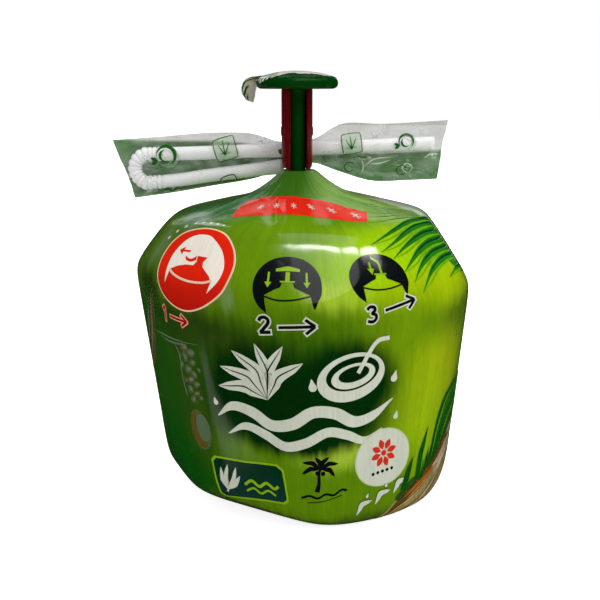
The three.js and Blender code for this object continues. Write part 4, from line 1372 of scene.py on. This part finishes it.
# %% Plunger
STEM_RADIUS, STEM_END = 3.0, 111.3
FLARE_START, FLARE_RADIUS = 138.5, 4.6
DISC_RADIUS, DISC_RIM, DISC_UNDERSIDE, DISC_RISE = 14.4, 2.0, 143.1, 3.9
TURNED_SIDES, SHUT_WITHIN = 96, 0.001       # the second in mm
rim_centre = (DISC_RADIUS - DISC_RIM, DISC_UNDERSIDE + DISC_RIM)
dome_radius = (rim_centre[0] ** 2 + DISC_RISE ** 2 - DISC_RIM ** 2) / (2 * (DISC_RISE - DISC_RIM))
dome_centre = rim_centre[1] + DISC_RISE - dome_radius
meeting = math.atan2(rim_centre[1] - dome_centre, rim_centre[0])


def spin_section(section, sides, closed=False):
    """A turned shape from a section of (radius, height) in mm."""
    shape = bmesh.new()
    points = [shape.verts.new((radius * MM, 0, level * MM)) for radius, level in section]
    following = points[1:] + points[:1] if closed else points[1:]
    edges = [shape.edges.new(pair) for pair in zip(points, following)]
    bmesh.ops.spin(shape, geom=points + edges, axis=(0, 0, 1), cent=(0, 0, 0), dvec=(0, 0, 0),
                   angle=2 * math.pi, steps=sides, use_merge=True)
    return shape


section = [(0, STEM_END), (1.6, STEM_END), (2.6, STEM_END + 0.1), (STEM_RADIUS, STEM_END + 0.6)]
section += [(STEM_RADIUS, level) for level in np.linspace(116, FLARE_START, 8)]
section += arc((FLARE_RADIUS, FLARE_START), (STEM_RADIUS - FLARE_RADIUS, DISC_UNDERSIDE - FLARE_START),
               0, math.pi / 2, 12)[1:]
section += [(radius, DISC_UNDERSIDE + 0.05 * math.sin(radius)) for radius in (6, 8, 10)]
section += arc(rim_centre, (DISC_RIM, DISC_RIM), -math.pi / 2, meeting, 18)
section += arc((0, dome_centre), (dome_radius, dome_radius), meeting, math.pi / 2, 22)[1:]

shape = spin_section(section, TURNED_SIDES)
bmesh.ops.remove_doubles(shape, verts=shape.verts, dist=SHUT_WITHIN * MM)
bmesh.ops.recalc_face_normals(shape, faces=shape.faces)
bmesh.ops.translate(shape, verts=shape.verts, vec=(NECK_X * MM, 0, 0))
green_plastic = moulded_material("green_plastic", (0, 58, 6), mottle=0.12, flow=0.05, Specular_IOR_Level=0.12)
finish_piece("plunger", shape, [green_plastic], "press_plunger")

# %% [markdown]
# The collar is a split tube of red plastic. It is spun as a full tube, its front is cut away between two
# parallel planes, and the cut faces are filled. Then its lower corners are pushed up into arcs.

# %% Collar
COLLAR_OUTER, COLLAR_BORE, COLLAR_BOTTOM, COLLAR_TOP = 5.45, 3.3, 115.3, 143.05
FUNNEL_WIDTH, FUNNEL_HEIGHT = 1.5, 2.2      # where the bore opens to the flare of the plunger
SLIT_WIDTH, SLIT_AZIMUTH, LOWER_CORNER = 5.8, 8.6, 2.2
COLLAR_SIDES, COLLAR_STEPS = 72, 12

bore = np.linspace(COLLAR_BOTTOM, COLLAR_TOP - FUNNEL_HEIGHT, COLLAR_STEPS)
section = [(COLLAR_BORE, level) for level in bore]
section += [(COLLAR_BORE + FUNNEL_WIDTH, COLLAR_TOP)]
section += [(COLLAR_OUTER, level) for level in np.linspace(COLLAR_TOP, COLLAR_BOTTOM, COLLAR_STEPS)]
shape = spin_section(section, COLLAR_SIDES, closed=True)
half_slit = SLIT_WIDTH / 2 * MM
for side in (-half_slit, half_slit):
    bmesh.ops.bisect_plane(shape, geom=all_of(shape), dist=1e-7, plane_co=(side, 0, 0), plane_no=(1, 0, 0))
front = []
for face in shape.faces:
    middle = face.calc_center_median()
    if abs(middle.x) < half_slit and middle.y < 0:
        front.append(face)
bmesh.ops.delete(shape, geom=front, context="FACES")
bmesh.ops.holes_fill(shape, edges=[edge for edge in shape.edges if edge.is_boundary])
bmesh.ops.recalc_face_normals(shape, faces=shape.faces)
for vert in shape.verts:
    beyond = abs(vert.co.x) / MM - (COLLAR_OUTER - LOWER_CORNER)
    if beyond > 0:
        lowest = COLLAR_BOTTOM + LOWER_CORNER - math.sqrt(max(0, LOWER_CORNER ** 2 - beyond ** 2))
        vert.co.z = max(vert.co.z, lowest * MM)
print("collar before its edges are rounded:", len(shape.faces), "faces")

# %% [markdown]
# The sharp edges of the collar are rounded with a narrow bevel, which is what catches the light on real
# plastic. Behind it two blocks, a bridge and a tongue, clip over the sachet.

# %% Rounded edges and clip
SHARP_OVER = math.radians(40)
EDGE_ROUNDING, BLOCK_ROUNDING = 0.28, 0.6
CLIP_BLOCKS = [((0, 8.5, 128.25), (11.6, 8.2, 3.5)), ((0, 11.9, 122.6), (9.0, 1.4, 13.2))]


def round_edges(shape, edges, radius):
    bmesh.ops.bevel(shape, geom=edges, offset=radius * MM, segments=3, affect="EDGES", profile=0.5,
                    material=-1)


turn = Matrix.Rotation(math.radians(SLIT_AZIMUTH), 3, "Z")
bmesh.ops.rotate(shape, verts=shape.verts, cent=(0, 0, 0), matrix=turn)
round_edges(shape, [edge for edge in shape.edges if edge.is_manifold and edge.calc_face_angle() > SHARP_OVER],
            EDGE_ROUNDING)
for middle, size in CLIP_BLOCKS:
    place = Matrix.Translation(Vector(middle) * MM) @ Matrix.Diagonal((*(Vector(size) * MM), 1))
    block = bmesh.ops.create_cube(shape, size=1, matrix=place)["verts"]
    round_edges(shape, list({edge for vert in block for edge in vert.link_edges}), BLOCK_ROUNDING)
bmesh.ops.translate(shape, verts=shape.verts, vec=(NECK_X * MM, 0, 0))
red_plastic = moulded_material("red_plastic", (100, 0, 5), mottle=0.15, flow=0.6, Specular_IOR_Level=0.2,
                               Coat_Weight=0.06, Coat_Roughness=0.1)
finish_piece("collar", shape, [red_plastic], "safety_collar")

# %% [markdown]
# The straw is a thin white tube that folds back on itself at its bellows, sealed in the sachet. First its
# centre line is laid in the sachet's plane, in even steps. In the bellows the radius swings: a groove cuts
# in between two ridges.

# %% Line of the straw
STRAW_RADIUS, STRAW_WALL, STRAW_SIDES = 2.5, 0.2, 28
RIDGES, RIDGE_DEPTH, GROOVE_SHARE = 15, 0.42, 0.17
BELLOWS_FROM, BELLOWS_SWELL = -51.8, 0.15        # mm: where they start in x, how much wider they are
FINE_STEP, KEPT_STEPS = 0.16, 9                  # mm, and one step in how many is kept on the plain legs
SACHET_DEPTH, SACHET_BOW, BOW_LENGTH = 8.4, 1.2, 60.0
PINCH_X, PINCH_REACH, PINCH_SHARE = NECK_X, 9.0, 0.3

LONG_LEG = [(47.3, 123.8), (35.6, 123.4), (13.5, 122.3), (3.3, 122), (-8.7, 121.4), (-20, 121),
            (-33.9, 120.4), (-46, 120)]
SHORT_LEG = [(-46, 110.4), (-34.1, 112.2), (-23, 113.6), (-10.2, 115.2), (-7.4, 115.5)]
BEND_MIDDLE, BEND_RADIUS = (-56.6, 114.6), 5.2


def sachet_middle(x):
    """How far behind the axis the sachet's middle plane is."""
    return SACHET_DEPTH + SACHET_BOW * ((np.asarray(x) - NECK_X) / BOW_LENGTH) ** 2


def straw_line():
    """Points of the straw's centre line in its plane, evenly spaced."""
    bend = arc(BEND_MIDDLE, (BEND_RADIUS, BEND_RADIUS), math.radians(82), math.radians(268), 12)
    path = smooth_path(LONG_LEG + bend + SHORT_LEG, steps=12)
    length = np.concatenate([[0], np.cumsum(np.linalg.norm(np.diff(path, axis=0), axis=1))])
    even = np.arange(0, length[-1], FINE_STEP)
    return np.stack([np.interp(even, length, path[:, axis]) for axis in (0, 1)], -1)


line = straw_line()
bellows = line[:, 0] < BELLOWS_FROM
bend_steps = np.flatnonzero(bellows)
phase = np.zeros(len(line))
phase[bend_steps] = np.linspace(0, RIDGES, len(bend_steps))
off_groove = np.abs((phase + 0.5) % 1 - 0.5) / GROOVE_SHARE
swell = np.where(bellows, BELLOWS_SWELL - RIDGE_DEPTH * np.exp(-off_groove ** 2), 0)
keep = bellows | (np.arange(len(line)) % KEPT_STEPS == 0)
keep[-1] = True
line, swell = line[keep], swell[keep]
heading = np.gradient(line, axis=0)
heading /= np.linalg.norm(heading, axis=1)[:, None]
print("steps along the straw:", len(line), "of which", int((swell != 0).sum()), "in the bellows")

# %% [markdown]
# A ring is extruded along that line, step by step, once for the outside and once for the bore, and the two
# are joined at their ends. Where the clip pinches the sachet, the tube is pressed flat and grows wider.

# %% Straw
WIDENING = 0.6        # how much of the lost depth the width takes up


def straw_tube(shape, inwards):
    """A ring extruded along the straw's line. Gives back the edges of its first and last ring."""
    ring = bmesh.ops.create_circle(shape, cap_ends=False, segments=STRAW_SIDES, radius=1)["verts"]
    ring_edges = list({edge for vert in ring for edge in vert.link_edges})
    ends, before = list(ring_edges), None
    for (x, z), (along_x, along_z), change in zip(line, heading, swell):
        pinch = 1 - PINCH_SHARE * math.exp(-((x - PINCH_X) / PINCH_REACH) ** 2)
        radius = STRAW_RADIUS + change - inwards
        side = Vector((-along_z, 0, along_x)) * radius * (1 + (1 - pinch) * WIDENING)
        middle = Vector((x, float(sachet_middle(x)), z))
        place = Matrix.Scale(MM, 4) @ Matrix((
            (side.x, 0, along_x, middle.x), (0, radius * pinch, 0, middle.y),
            (side.z, 0, along_z, middle.z), (0, 0, 0, 1)))
        if before is None:
            bmesh.ops.transform(shape, matrix=place, verts=ring)
        else:
            grown = bmesh.ops.extrude_edge_only(shape, edges=ring_edges)["geom"]
            ring = [item for item in grown if isinstance(item, bmesh.types.BMVert)]
            ring_edges = [item for item in grown if isinstance(item, bmesh.types.BMEdge)
                          and all(vert in ring for vert in item.verts)]
            bmesh.ops.transform(shape, matrix=place @ before.inverted(), verts=ring)
        before = place
    return ends, ring_edges


shape = bmesh.new()
outer_ends = straw_tube(shape, 0)
inner_ends = straw_tube(shape, STRAW_WALL)
for outer_end, inner_end in zip(outer_ends, inner_ends):
    bmesh.ops.bridge_loops(shape, edges=outer_end + inner_end)
bmesh.ops.recalc_face_normals(shape, faces=shape.faces)
straw_white = moulded_material("straw_white", (250, 250, 250), mottle=0.02, flow=0.1, Specular_IOR_Level=0.5)
finish_piece("straw", shape, [straw_white])

# %% [markdown]
# The sachet is two thin films, sealed all round. They lie on the straw and fall back between its legs, and
# they are drawn together where the clip pinches them. Each film is a flat grid whose corners are moved out
# as far as the straw or the air in the sachet holds them.

# %% Shape of the sachet
# Sections from the left seal to the right one: top and bottom point in the sachet's plane, half thickness
SACHET_SECTIONS = [
    ((-69.8, 124.9), (-62.3, 103.8), 0.3), ((-62, 125.4), (-56, 104.7), 2.7), ((-50, 126.3), (-47, 106), 3.3),
    ((-35, 127.5), (-34, 108.3), 3.3), ((-20, 127.4), (-19.5, 110.8), 3.1), ((-9.6, 124.6), (-9, 114), 2.5),
    ((-2.5, 124.2), (-2.5, 116.3), 2.4), ((4, 125.6), (4.2, 116.6), 2.5), ((14, 130.8), (13, 113.6), 3),
    ((28, 130.7), (25, 110.2), 3.1), ((41, 131.3), (38.5, 110.4), 2.8), ((52.1, 132), (48.8, 110.8), 0.3),
]
SEAL_HALF, SEAL_WIDTH, SACHET_HEIGHT = 0.12, 3.0, 20.0
DRAPE_REACH, FILM_CLEAR = 5.6, 0.35
PINCH_FOLDS, CRINKLE, CRIMP = 0.28, 0.12, 0.12     # mm of relief
CRIMPED_END = 0.028                                # share of the length that is crimped at either end

tops, bottoms, halves = (np.array(part, float) for part in zip(*SACHET_SECTIONS))
top_edge, bottom_edge = (smooth_path(points, steps=10) for points in (tops, bottoms))
half_edge = smooth_path(np.stack([np.arange(len(halves)), halves], -1), steps=10)[:, 1]


def film_depth(x, z, rise):
    """Half the sachet's thickness where the films lie on the straw or are pulled between its legs."""
    share = np.interp(x, (top_edge[:, 0] + bottom_edge[:, 0]) / 2, half_edge)
    crown = 0.5 * share * np.sin(np.pi * rise) ** 0.6
    gap = np.sqrt((x[..., None] - line[:, 0]) ** 2 + (z[..., None] - line[:, 1]) ** 2).min(-1)
    pinch = 1 - PINCH_SHARE * np.exp(-((x - PINCH_X) / PINCH_REACH) ** 2)
    tent = (STRAW_RADIUS * pinch + FILM_CLEAR) * np.sqrt(np.clip(1 - (gap / DRAPE_REACH) ** 2, 0, 1))
    edge = np.clip(np.minimum(rise, 1 - rise) * SACHET_HEIGHT / SEAL_WIDTH, 0, 1)
    fold = np.sin(13 * rise + 3 * np.sin(0.2 * x)) * np.exp(-((x - PINCH_X) / 16) ** 2)
    crinkle = np.sin(0.9 * x + 2.1 * np.sin(0.5 * z)) * np.sin(1.1 * z + 0.35 * x)
    return SEAL_HALF + edge * (np.maximum(crown, tent) + PINCH_FOLDS * fold + CRINKLE * crinkle)


def sachet_point(along, rise, side):
    """A point of a film, in mm: along from left to right, rise from bottom to top, both from 0 to 1."""
    steps = np.linspace(0, 1, len(top_edge))
    top, bottom = (np.stack([np.interp(along, steps, edge[:, axis]) for axis in (0, 1)], -1)
                   for edge in (top_edge, bottom_edge))
    x, z = (bottom + (top - bottom) * rise[..., None]).T
    crimp = CRIMP * np.sin(x * 5.2) * (np.minimum(along, 1 - along) < CRIMPED_END)
    return np.stack([x, sachet_middle(x) + side * film_depth(x, z, rise) + crimp, z], -1)


def sachet_sheet(side):
    shape, flat = flat_grid(SACHET_COLUMNS, SACHET_ROWS)
    places = sachet_point(*flat.T, side)
    keep_flat_map(shape, places[:, [0, 2]])
    move_corners(shape, places * MM)
    if side > 0:
        bmesh.ops.reverse_faces(shape, faces=shape.faces)
    return shape


SACHET_COLUMNS, SACHET_ROWS = 240, 60
front_sheet, back_sheet = sachet_sheet(-1), sachet_sheet(1)
print("sachet films:", len(front_sheet.faces), "faces each")

# %% [markdown]
# Clear film is a surface that lets most light pass: its alpha is low and its gloss is high. Its creases
# are bumped, and painted near-white and more opaque as a painted highlight of the light they catch. The
# creases are thin lines taken from the middle values of a noise, in a few places only. The lower half of
# the back film is green, up to a line that follows the straw's upper leg, so the straw stands out white
# against it.

# %% Clear film
CREASE_LINE = 0.018                                   # half width of a crease in the noise
CREASE_STRETCHED, CREASE_TURN = (110, 420, 1), 9      # per m, degrees
CREASE_SPOTS, SPOTS_FROM, SPOTS_FULL = 95.0, 0.52, 0.62
# The painted highlight on the creases: its colour and how much more opaque it makes the film. Then the height
# of their bump.
CREASE_HIGHLIGHT_PAINT, CREASE_HIGHLIGHT_ALPHA, CREASE_HEIGHT = (244, 248, 240), 0.7, 0.5
CLOUDINESS, CLOUDS_PER_M, FILM_BUMP = 0.02, 160.0, 0.00018
FILM_SURFACE = {"Specular_IOR_Level": 0.6, "Coat_Weight": 0.4, "Coat_Roughness": 0.05, "Roughness": 0.22}
# The line between green and clear, in mm of the sachet's plane, and the box that it is drawn in
GREEN_LEVEL = [(-70, 125.2), (-50, 124.6), (-25, 123.9), (-9, 121), (14, 119.9), (36, 120.6), (52, 121.2)]
BOX_LEFT, BOX_RIGHT, BOX_LOW, BOX_HIGH = -70, 52, 100, 140
GREEN_EDGE = 0.8                                      # mm, half the width of the soft edge


def crease_and_highlight_mask(tree, sheet):
    """Thin lines where the film creased, in a few patches only. They carry a bump and a painted highlight."""
    lines = noise(tree, stretched(tree, sheet, CREASE_STRETCHED, CREASE_TURN), distortion=1.2)
    off_line = maths(tree, "ABSOLUTE", maths(tree, "SUBTRACT", lines, 0.5))
    thin = remap(tree, off_line, (0, CREASE_LINE), (1.0, 0.0))
    where = remap(tree, noise(tree, sheet, CREASE_SPOTS, 1.0), (SPOTS_FROM, SPOTS_FULL))
    return maths(tree, "MULTIPLY", thin, where)


def over_green(tree, sheet):
    """0 on the green lower half, 1 on the clear upper one."""
    curve = add_node(tree, "FloatCurve")
    course = curve.mapping.curves[0]
    spots = [((x - BOX_LEFT) / (BOX_RIGHT - BOX_LEFT), (z - BOX_LOW) / (BOX_HIGH - BOX_LOW))
             for x, z in GREEN_LEVEL]
    for spot in spots[1:-1]:
        course.points.new(*spot)
    course.points[0].location = spots[0]
    course.points[-1].location = spots[-1]
    curve.mapping.update()
    x, z, _ = add_node(tree, "SeparateXYZ", {"Vector": sheet}).outputs
    set_sockets(tree, curve, {"Value": remap(tree, x, (BOX_LEFT * MM, BOX_RIGHT * MM))})
    level = remap(tree, curve.outputs[0], new=(BOX_LOW * MM, BOX_HIGH * MM))
    return remap(tree, maths(tree, "SUBTRACT", z, level), (-GREEN_EDGE * MM, GREEN_EDGE * MM),
                 interpolation_type="SMOOTHSTEP")


def clear_film(name, colour_and_alpha, cloudy=CLOUDINESS):
    """A clear film. The function that it is given adds nodes and returns the film's colour and alpha."""
    material, tree, shader = new_material(name, **FILM_SURFACE)
    sheet = add_node(tree, "UVMap", uv_map="sleeve").outputs["UV"]
    cloud = noise(tree, sheet, CLOUDS_PER_M)
    crease_and_highlight = crease_and_highlight_mask(tree, sheet)
    paint, alpha = colour_and_alpha(tree, sheet)
    swing = remap(tree, cloud, (0.3, 0.7), (-cloudy, cloudy))
    # Painted highlight: where the creases run, the film is made more opaque and mixed towards near-white.
    brighter = maths(tree, "MULTIPLY_ADD", crease_and_highlight, CREASE_HIGHLIGHT_ALPHA, swing)
    set_sockets(tree, shader, {
        "Base Color": mix_colours(tree, crease_and_highlight, paint, colour(*CREASE_HIGHLIGHT_PAINT)),
        "Alpha": maths(tree, "ADD", alpha, brighter, use_clamp=True),
    })
    add_bump(tree, shader, maths(tree, "MULTIPLY_ADD", crease_and_highlight, CREASE_HEIGHT, cloud), FILM_BUMP)
    return material


print("the green ends", GREEN_LEVEL[0][1], "mm up at the left")

# %% [markdown]
# The front film is nearly invisible. The back film is green and dense below the line, grey and thinner
# over it.

# %% Films of the sachet
def nearly_invisible(tree, sheet):
    return colour(232, 236, 230), 0.04


def green_below(tree, sheet):
    """Green with fibres under the line, grey over it, and how much of either covers what is behind."""
    clear = over_green(tree, sheet)
    mixed = mix_colours(tree, clear, colour(84, 134, 72), colour(150, 152, 142))
    fibrous = use_group(tree, fibres, {"Color": mixed, "Sheet": sheet, "Amount": 0.22})
    x = add_node(tree, "SeparateXYZ", {"Vector": sheet}).outputs["X"]
    grey_alpha = remap(tree, x, (-12 * MM, 4 * MM), (0.72, 0.7))
    return fibrous.outputs["Color"], remap(tree, clear, new=(0.98, grey_alpha))


front_clear = clear_film("front_film_clear", nearly_invisible)
back_green = clear_film("back_film_green", green_below, cloudy=0.05)
finish_piece("sachet_front", front_sheet, [front_clear], "straw_sachet")
finish_piece("sachet_back", back_sheet, [back_green], "straw_sachet")

# %% [markdown]
# Green line pictures are printed on the front of the sachet: tilted squares with a leaf, and curls with a
# pair of leaves. They are drawn in the sachet's plane and wrapped on its front film, like the print of
# the coconut. Pale strokes are glints on its folds.

# %% Motifs of the sachet
LINE_INK, TINT, GLINT = range(3)


def tilted_square(art, middle, half, turn):
    corners = []
    for corner in range(4):
        for nudge in (-9, 9):
            corners.append(at_angle(middle, half * 1.3, turn + 45 + 90 * corner + nudge))
    patch(art, corners, TINT)
    stroke(art, corners, 0.34, LINE_INK, 1, steps=2, closed=True)
    for lean, length in ((-46, 0.75), (4, 0.9), (50, 0.75)):
        tip = at_angle(middle, half * length, turn + 90 + lean)
        stroke(art, [(middle[0], middle[1] - half * 0.6), tip], [0.5, 0.9, 0.2], LINE_INK, 1)
    ground = [(-0.5, -0.5), (0.5, -0.35)]
    stroke(art, placed(ground, middle, half), [0.2, 0.7, 0.2], LINE_INK, 1)


def curl(art, middle, size, turn):
    halo = arc(middle, (size * 1.1, size * 1.05), math.radians(turn - 70), math.radians(turn + 120), 8)
    stroke(art, halo, [0.2, 0.7 * size, 0.6 * size, 0.2], TINT)
    for reach, start, end, width in ((1, -20, 235, 0.4), (0.62, 150, 330, 0.3)):
        ends = math.radians(turn + start), math.radians(turn + end)
        bow = arc(middle, (size * reach, size * reach), *ends, 9)
        stroke(art, bow, [0.1, width * size, width * size * 0.8, 0.1], LINE_INK, 1)
    foot = (middle[0] - size * 0.9, middle[1] - size * 0.5)
    for lean in (160, 215):
        leaf(art, foot, at_angle(foot, size * 0.8, lean), size * 0.4, LINE_INK, 1)


def on_sachet_front(x, z):
    """The front film over a point of the sachet's plane, in metres."""
    top = np.interp(x, top_edge[:, 0], top_edge[:, 1])
    bottom = np.interp(x, bottom_edge[:, 0], bottom_edge[:, 1])
    rise = np.clip((z - bottom) / (top - bottom), 0, 1)
    return np.stack([x, sachet_middle(x) - film_depth(x, z, rise), z], -1) * MM


print("inks of the sachet:", GLINT + 1)

# %% Print of the sachet
art = bmesh.new()
tilted_square(art, (-28.4, 121.9), 3.7, 16)
curl(art, (-50.0, 119.4), 3.4, -50)
strokes(art, [
    ([(-51.6, 106.7), (-49.8, 107.5), (-48.2, 106.6), (-46.4, 107.7), (-44.6, 107.2)],
     [0.2, 1, 0.5, 0.9, 0.1], LINE_INK, 1),
    ([(-30.6, 109.9), (-29.6, 111.6), (-25.6, 112.8), (-24.4, 110.9)], 0.4, LINE_INK, 1),
])
patch(art, [(-9.4, 121.6), (-6.9, 122.4), (-6.8, 119.6), (-8.9, 120.2)], LINE_INK, 1)
tilted_square(art, (17.2, 123.8), 3.3, 8)
curl(art, (36.8, 124.4), 2.6, -20)
GLINTS = [
    [(22, 115.6), (25, 118), (29, 118.8), (33, 119)], [(20.6, 112.6), (21.6, 115.2), (21, 118)],
    [(37.6, 113), (35.8, 114.8), (37.2, 116.6), (39.4, 115.4), (38.6, 113.6)],
    [(43.6, 118.4), (46, 120.2), (48.6, 120)], [(24, 116.4), (28, 116.8), (31.6, 118)],
]
for path in GLINTS:
    stroke(art, path, [0.1, 0.55, 0.4, 0.1], GLINT)
for middle in ((16.6, 115.4), (35.6, 114.2)):
    stroke(art, arc(middle, (1.9, 1.7), math.radians(30), math.radians(320), 7), 0.35, LINE_INK, 1)
wrap_print("sachet_print", art, [
    ink("sachet_green", (34, 96, 30)), ink("sachet_pale", (176, 212, 166), opacity=0.4),
    ink("sachet_glint", (236, 242, 232), opacity=0.7),
], surface=on_sachet_front, both_sides=False)

# %% [markdown]
# A cap of thin film lies over the plunger's disc. It was torn, so its edge runs in waves: it reaches down
# to the rim at the sides and at the back, and only half way at the front. It is a flat grid rolled into a
# round sheet and bent over the disc's own section.

# %% Cap of film
COVER_SIDES, COVER_RINGS = 120, 30
COVER_LIFT, COVER_LAP = 0.21, 0.8        # mm over the disc, and mm past the dome's edge
FRONT_REACH = 8.8                        # mm from the top to the torn edge at the front
# Flaps of the torn edge: mm that they reach further, radians from the front, radians wide
FLAPS = [(1.3, 0.95, 0.3), (5.4, -0.95, 0.4)]
dome_length = dome_radius * (math.pi / 2 - meeting)


def on_disc(azimuth, length, offset):
    """A point over the disc, in mm, at a length along its section from the top."""
    on_dome = length < dome_length
    dome_turn = math.pi / 2 - np.minimum(length, dome_length) / dome_radius
    rim_turn = meeting - (np.maximum(length, dome_length) - dome_length) / DISC_RIM
    radius = np.where(on_dome, (dome_radius + offset) * np.cos(dome_turn),
                      rim_centre[0] + (DISC_RIM + offset) * np.cos(rim_turn))
    height = np.where(on_dome, dome_centre + (dome_radius + offset) * np.sin(dome_turn),
                      rim_centre[1] + (DISC_RIM + offset) * np.sin(rim_turn))
    return np.stack([NECK_X + np.sin(azimuth) * radius, -np.cos(azimuth) * radius, height], -1)


def torn_edge(azimuth):
    """How much further than a plain edge the torn one reaches, in mm."""
    flaps = sum(reach * np.exp(-((azimuth - middle) / width) ** 2) for reach, middle, width in FLAPS)
    waves = 0.6 * np.sin(7 * azimuth + np.sin(azimuth)) + 0.3 * np.sin(17 * azimuth)
    return flaps + waves + 0.18 * np.sin(29 * azimuth + 1)


shape, flat = flat_grid(COVER_SIDES, COVER_RINGS, middle=(0, 0.5))
azimuth, share = flat[:, 0] * 2 * math.pi, flat[:, 1]
frontal = np.clip(np.cos(azimuth), 0, 1) ** 0.8
full = dome_length + COVER_LAP
length = share * (full - (full - FRONT_REACH) * frontal + torn_edge(azimuth))
creased = 0.05 * np.sin(5 * azimuth + 9 * share) + 0.03 * np.sin(11 * azimuth - 14 * share)
places = on_disc(azimuth, length, COVER_LIFT + creased * share)
keep_flat_map(shape, places[:, :2])
move_corners(shape, places * MM)
bmesh.ops.remove_doubles(shape, verts=shape.verts, dist=MERGE_WITHIN * MM)
bmesh.ops.recalc_face_normals(shape, faces=shape.faces)
print("the cap reaches", round(float(length.max()), 1), "mm out from its middle")

# %% [markdown]
# A strip of the same film hangs off the left of the disc. It turns to the front on its way down, and its
# left edge is curled in. It is a flat strip whose corners are moved along a line.

# %% Tail of film
TAIL_LINE = [(-12.4, -1.2, 147.75), (-14.8, -2, 147.3), (-16.8, -2.8, 146.6), (-18.5, -3.2, 145.2),
             (-19.3, -3.2, 143.2), (-19.4, -3, 141), (-18.9, -2.8, 138.9)]
TAIL_WIDTHS = [5.2, 5.6, 5.6, 5.6, 5.8, 5.2, 2.6]
TAIL_TURN, TURN_FROM, TURN_LENGTH = 86, 0.08, 0.45       # degrees, and shares of the way down
TAIL_COLUMNS, TAIL_ROWS = 26, 60
TAIL_LEFT, TAIL_TOP, TAIL_MAP_SIZE = -50.0, 20.0, (5.6, 13.0)     # its place in the cap's map, mm


def tail_point(across, down):
    """A point of the tail, in mm: it leaves the disc, turns to the front and curls along its left edge."""
    steps = np.linspace(0, 1, len(TAIL_LINE))
    path = smooth_path(TAIL_LINE, steps=10)
    fine = np.linspace(0, 1, len(path))
    middle = np.stack([np.interp(down, fine, path[:, axis]) for axis in range(3)], -1)
    width = np.interp(down, steps, TAIL_WIDTHS)
    turn = np.radians(TAIL_TURN) * np.clip((down - TURN_FROM) / TURN_LENGTH, 0, 1)
    x = -np.sin(turn) * across * width
    y = -np.cos(turn) * across * width
    curled = 1.1 * np.clip(across - 0.15, 0, 1) ** 2 * np.clip((down - 0.3) / 0.3, 0, 1)
    middle[..., 0] += x * 0.92 + curled * width * 0.5
    middle[..., 1] += y - curled * width * 0.9 + 0.2 * np.sin(9 * across + 7 * down)
    middle[..., 2] += np.sin(turn) * across * 0.8
    return middle


tail, flat = flat_grid(TAIL_COLUMNS, TAIL_ROWS, middle=(0, 0.5))
across, down = flat[:, 0], 1 - flat[:, 1]
keep_flat_map(tail, np.stack([TAIL_LEFT - across * TAIL_MAP_SIZE[0], TAIL_TOP - down * TAIL_MAP_SIZE[1]], -1))
move_corners(tail, tail_point(across, down) * MM)
tail_mesh = bpy.data.meshes.new("tail")
tail.to_mesh(tail_mesh)
tail.free()
shape.from_mesh(tail_mesh)
print("cap and tail:", len(shape.faces), "faces")

# %% [markdown]
# The film is white, and a print was torn through: green marks run aslant on the left of the cap and down
# the tail's left edge. They are bands of a distorted wave, kept between two limits of the film's map. The
# tail is greyer than the cap, because nothing white lies behind it.

# %% White film
CAP_MARKS, TAIL_MARKS, WHOLE_TAIL = (-19.5, -8.5), (-54.2, -49.6), (-54.2, -45.8)     # mm of the map
SOFT_END = 0.8                                                                       # mm
CAP_PAINT, TAIL_PAINT, MARK_PAINT = (228, 226, 216), (176, 174, 156), (12, 84, 22)
white_film, tree, shader = new_material("white_film", Specular_IOR_Level=0.5, Coat_Weight=0.5,
                                        Coat_Roughness=0.08, Roughness=0.3)
flat_map = add_node(tree, "UVMap", uv_map="sleeve").outputs["UV"]
across = add_node(tree, "SeparateXYZ", {"Vector": flat_map}).outputs["X"]


def between(low, high):
    """1 where the map lies between two limits in mm, 0 elsewhere, with soft ends."""
    rise = remap(tree, across, (low * MM, (low + SOFT_END) * MM))
    fall = remap(tree, across, ((high - SOFT_END) * MM, high * MM), (1.0, 0.0))
    return maths(tree, "MULTIPLY", rise, fall)


def marks(where, scale, turn, low, high, distortion=2.0):
    """Printed bands between two limits. Low and high are the values of the wave at a band's soft edge."""
    waves = add_node(tree, "TexWave", {
        "Vector": stretched(tree, flat_map, turn=turn), "Scale": scale, "Distortion": distortion,
        "Detail": 1.0, "Detail Scale": 2.0,
    }, wave_type="BANDS")
    return maths(tree, "MULTIPLY", remap(tree, waves.outputs["Fac"], (low, high)), between(*where))


printed = maths(tree, "MAXIMUM", marks(CAP_MARKS, 200.0, 58, 0.46, 0.56),
                marks(TAIL_MARKS, 150.0, 30, 0.36, 0.46, distortion=5.0))
plain = mix_colours(tree, between(*WHOLE_TAIL), colour(*CAP_PAINT), colour(*TAIL_PAINT))
paint = mix_colours(tree, printed, plain, colour(*MARK_PAINT))
toned = use_group(tree, fibres, {"Color": paint, "Sheet": flat_map, "Amount": 0.12}).outputs["Color"]
set_sockets(tree, shader, {"Base Color": toned})
add_relief(tree, shader, wave=0.8, wrinkle=0.5, pebble=0.05)

COVER_WALL = 0.08        # mm
disc_cover = finish_piece("disc_film", shape, [white_film], "disc_cover")
wall = disc_cover.modifiers.new("wall", "SOLIDIFY")
wall.thickness = COVER_WALL * MM
wall.offset = 0
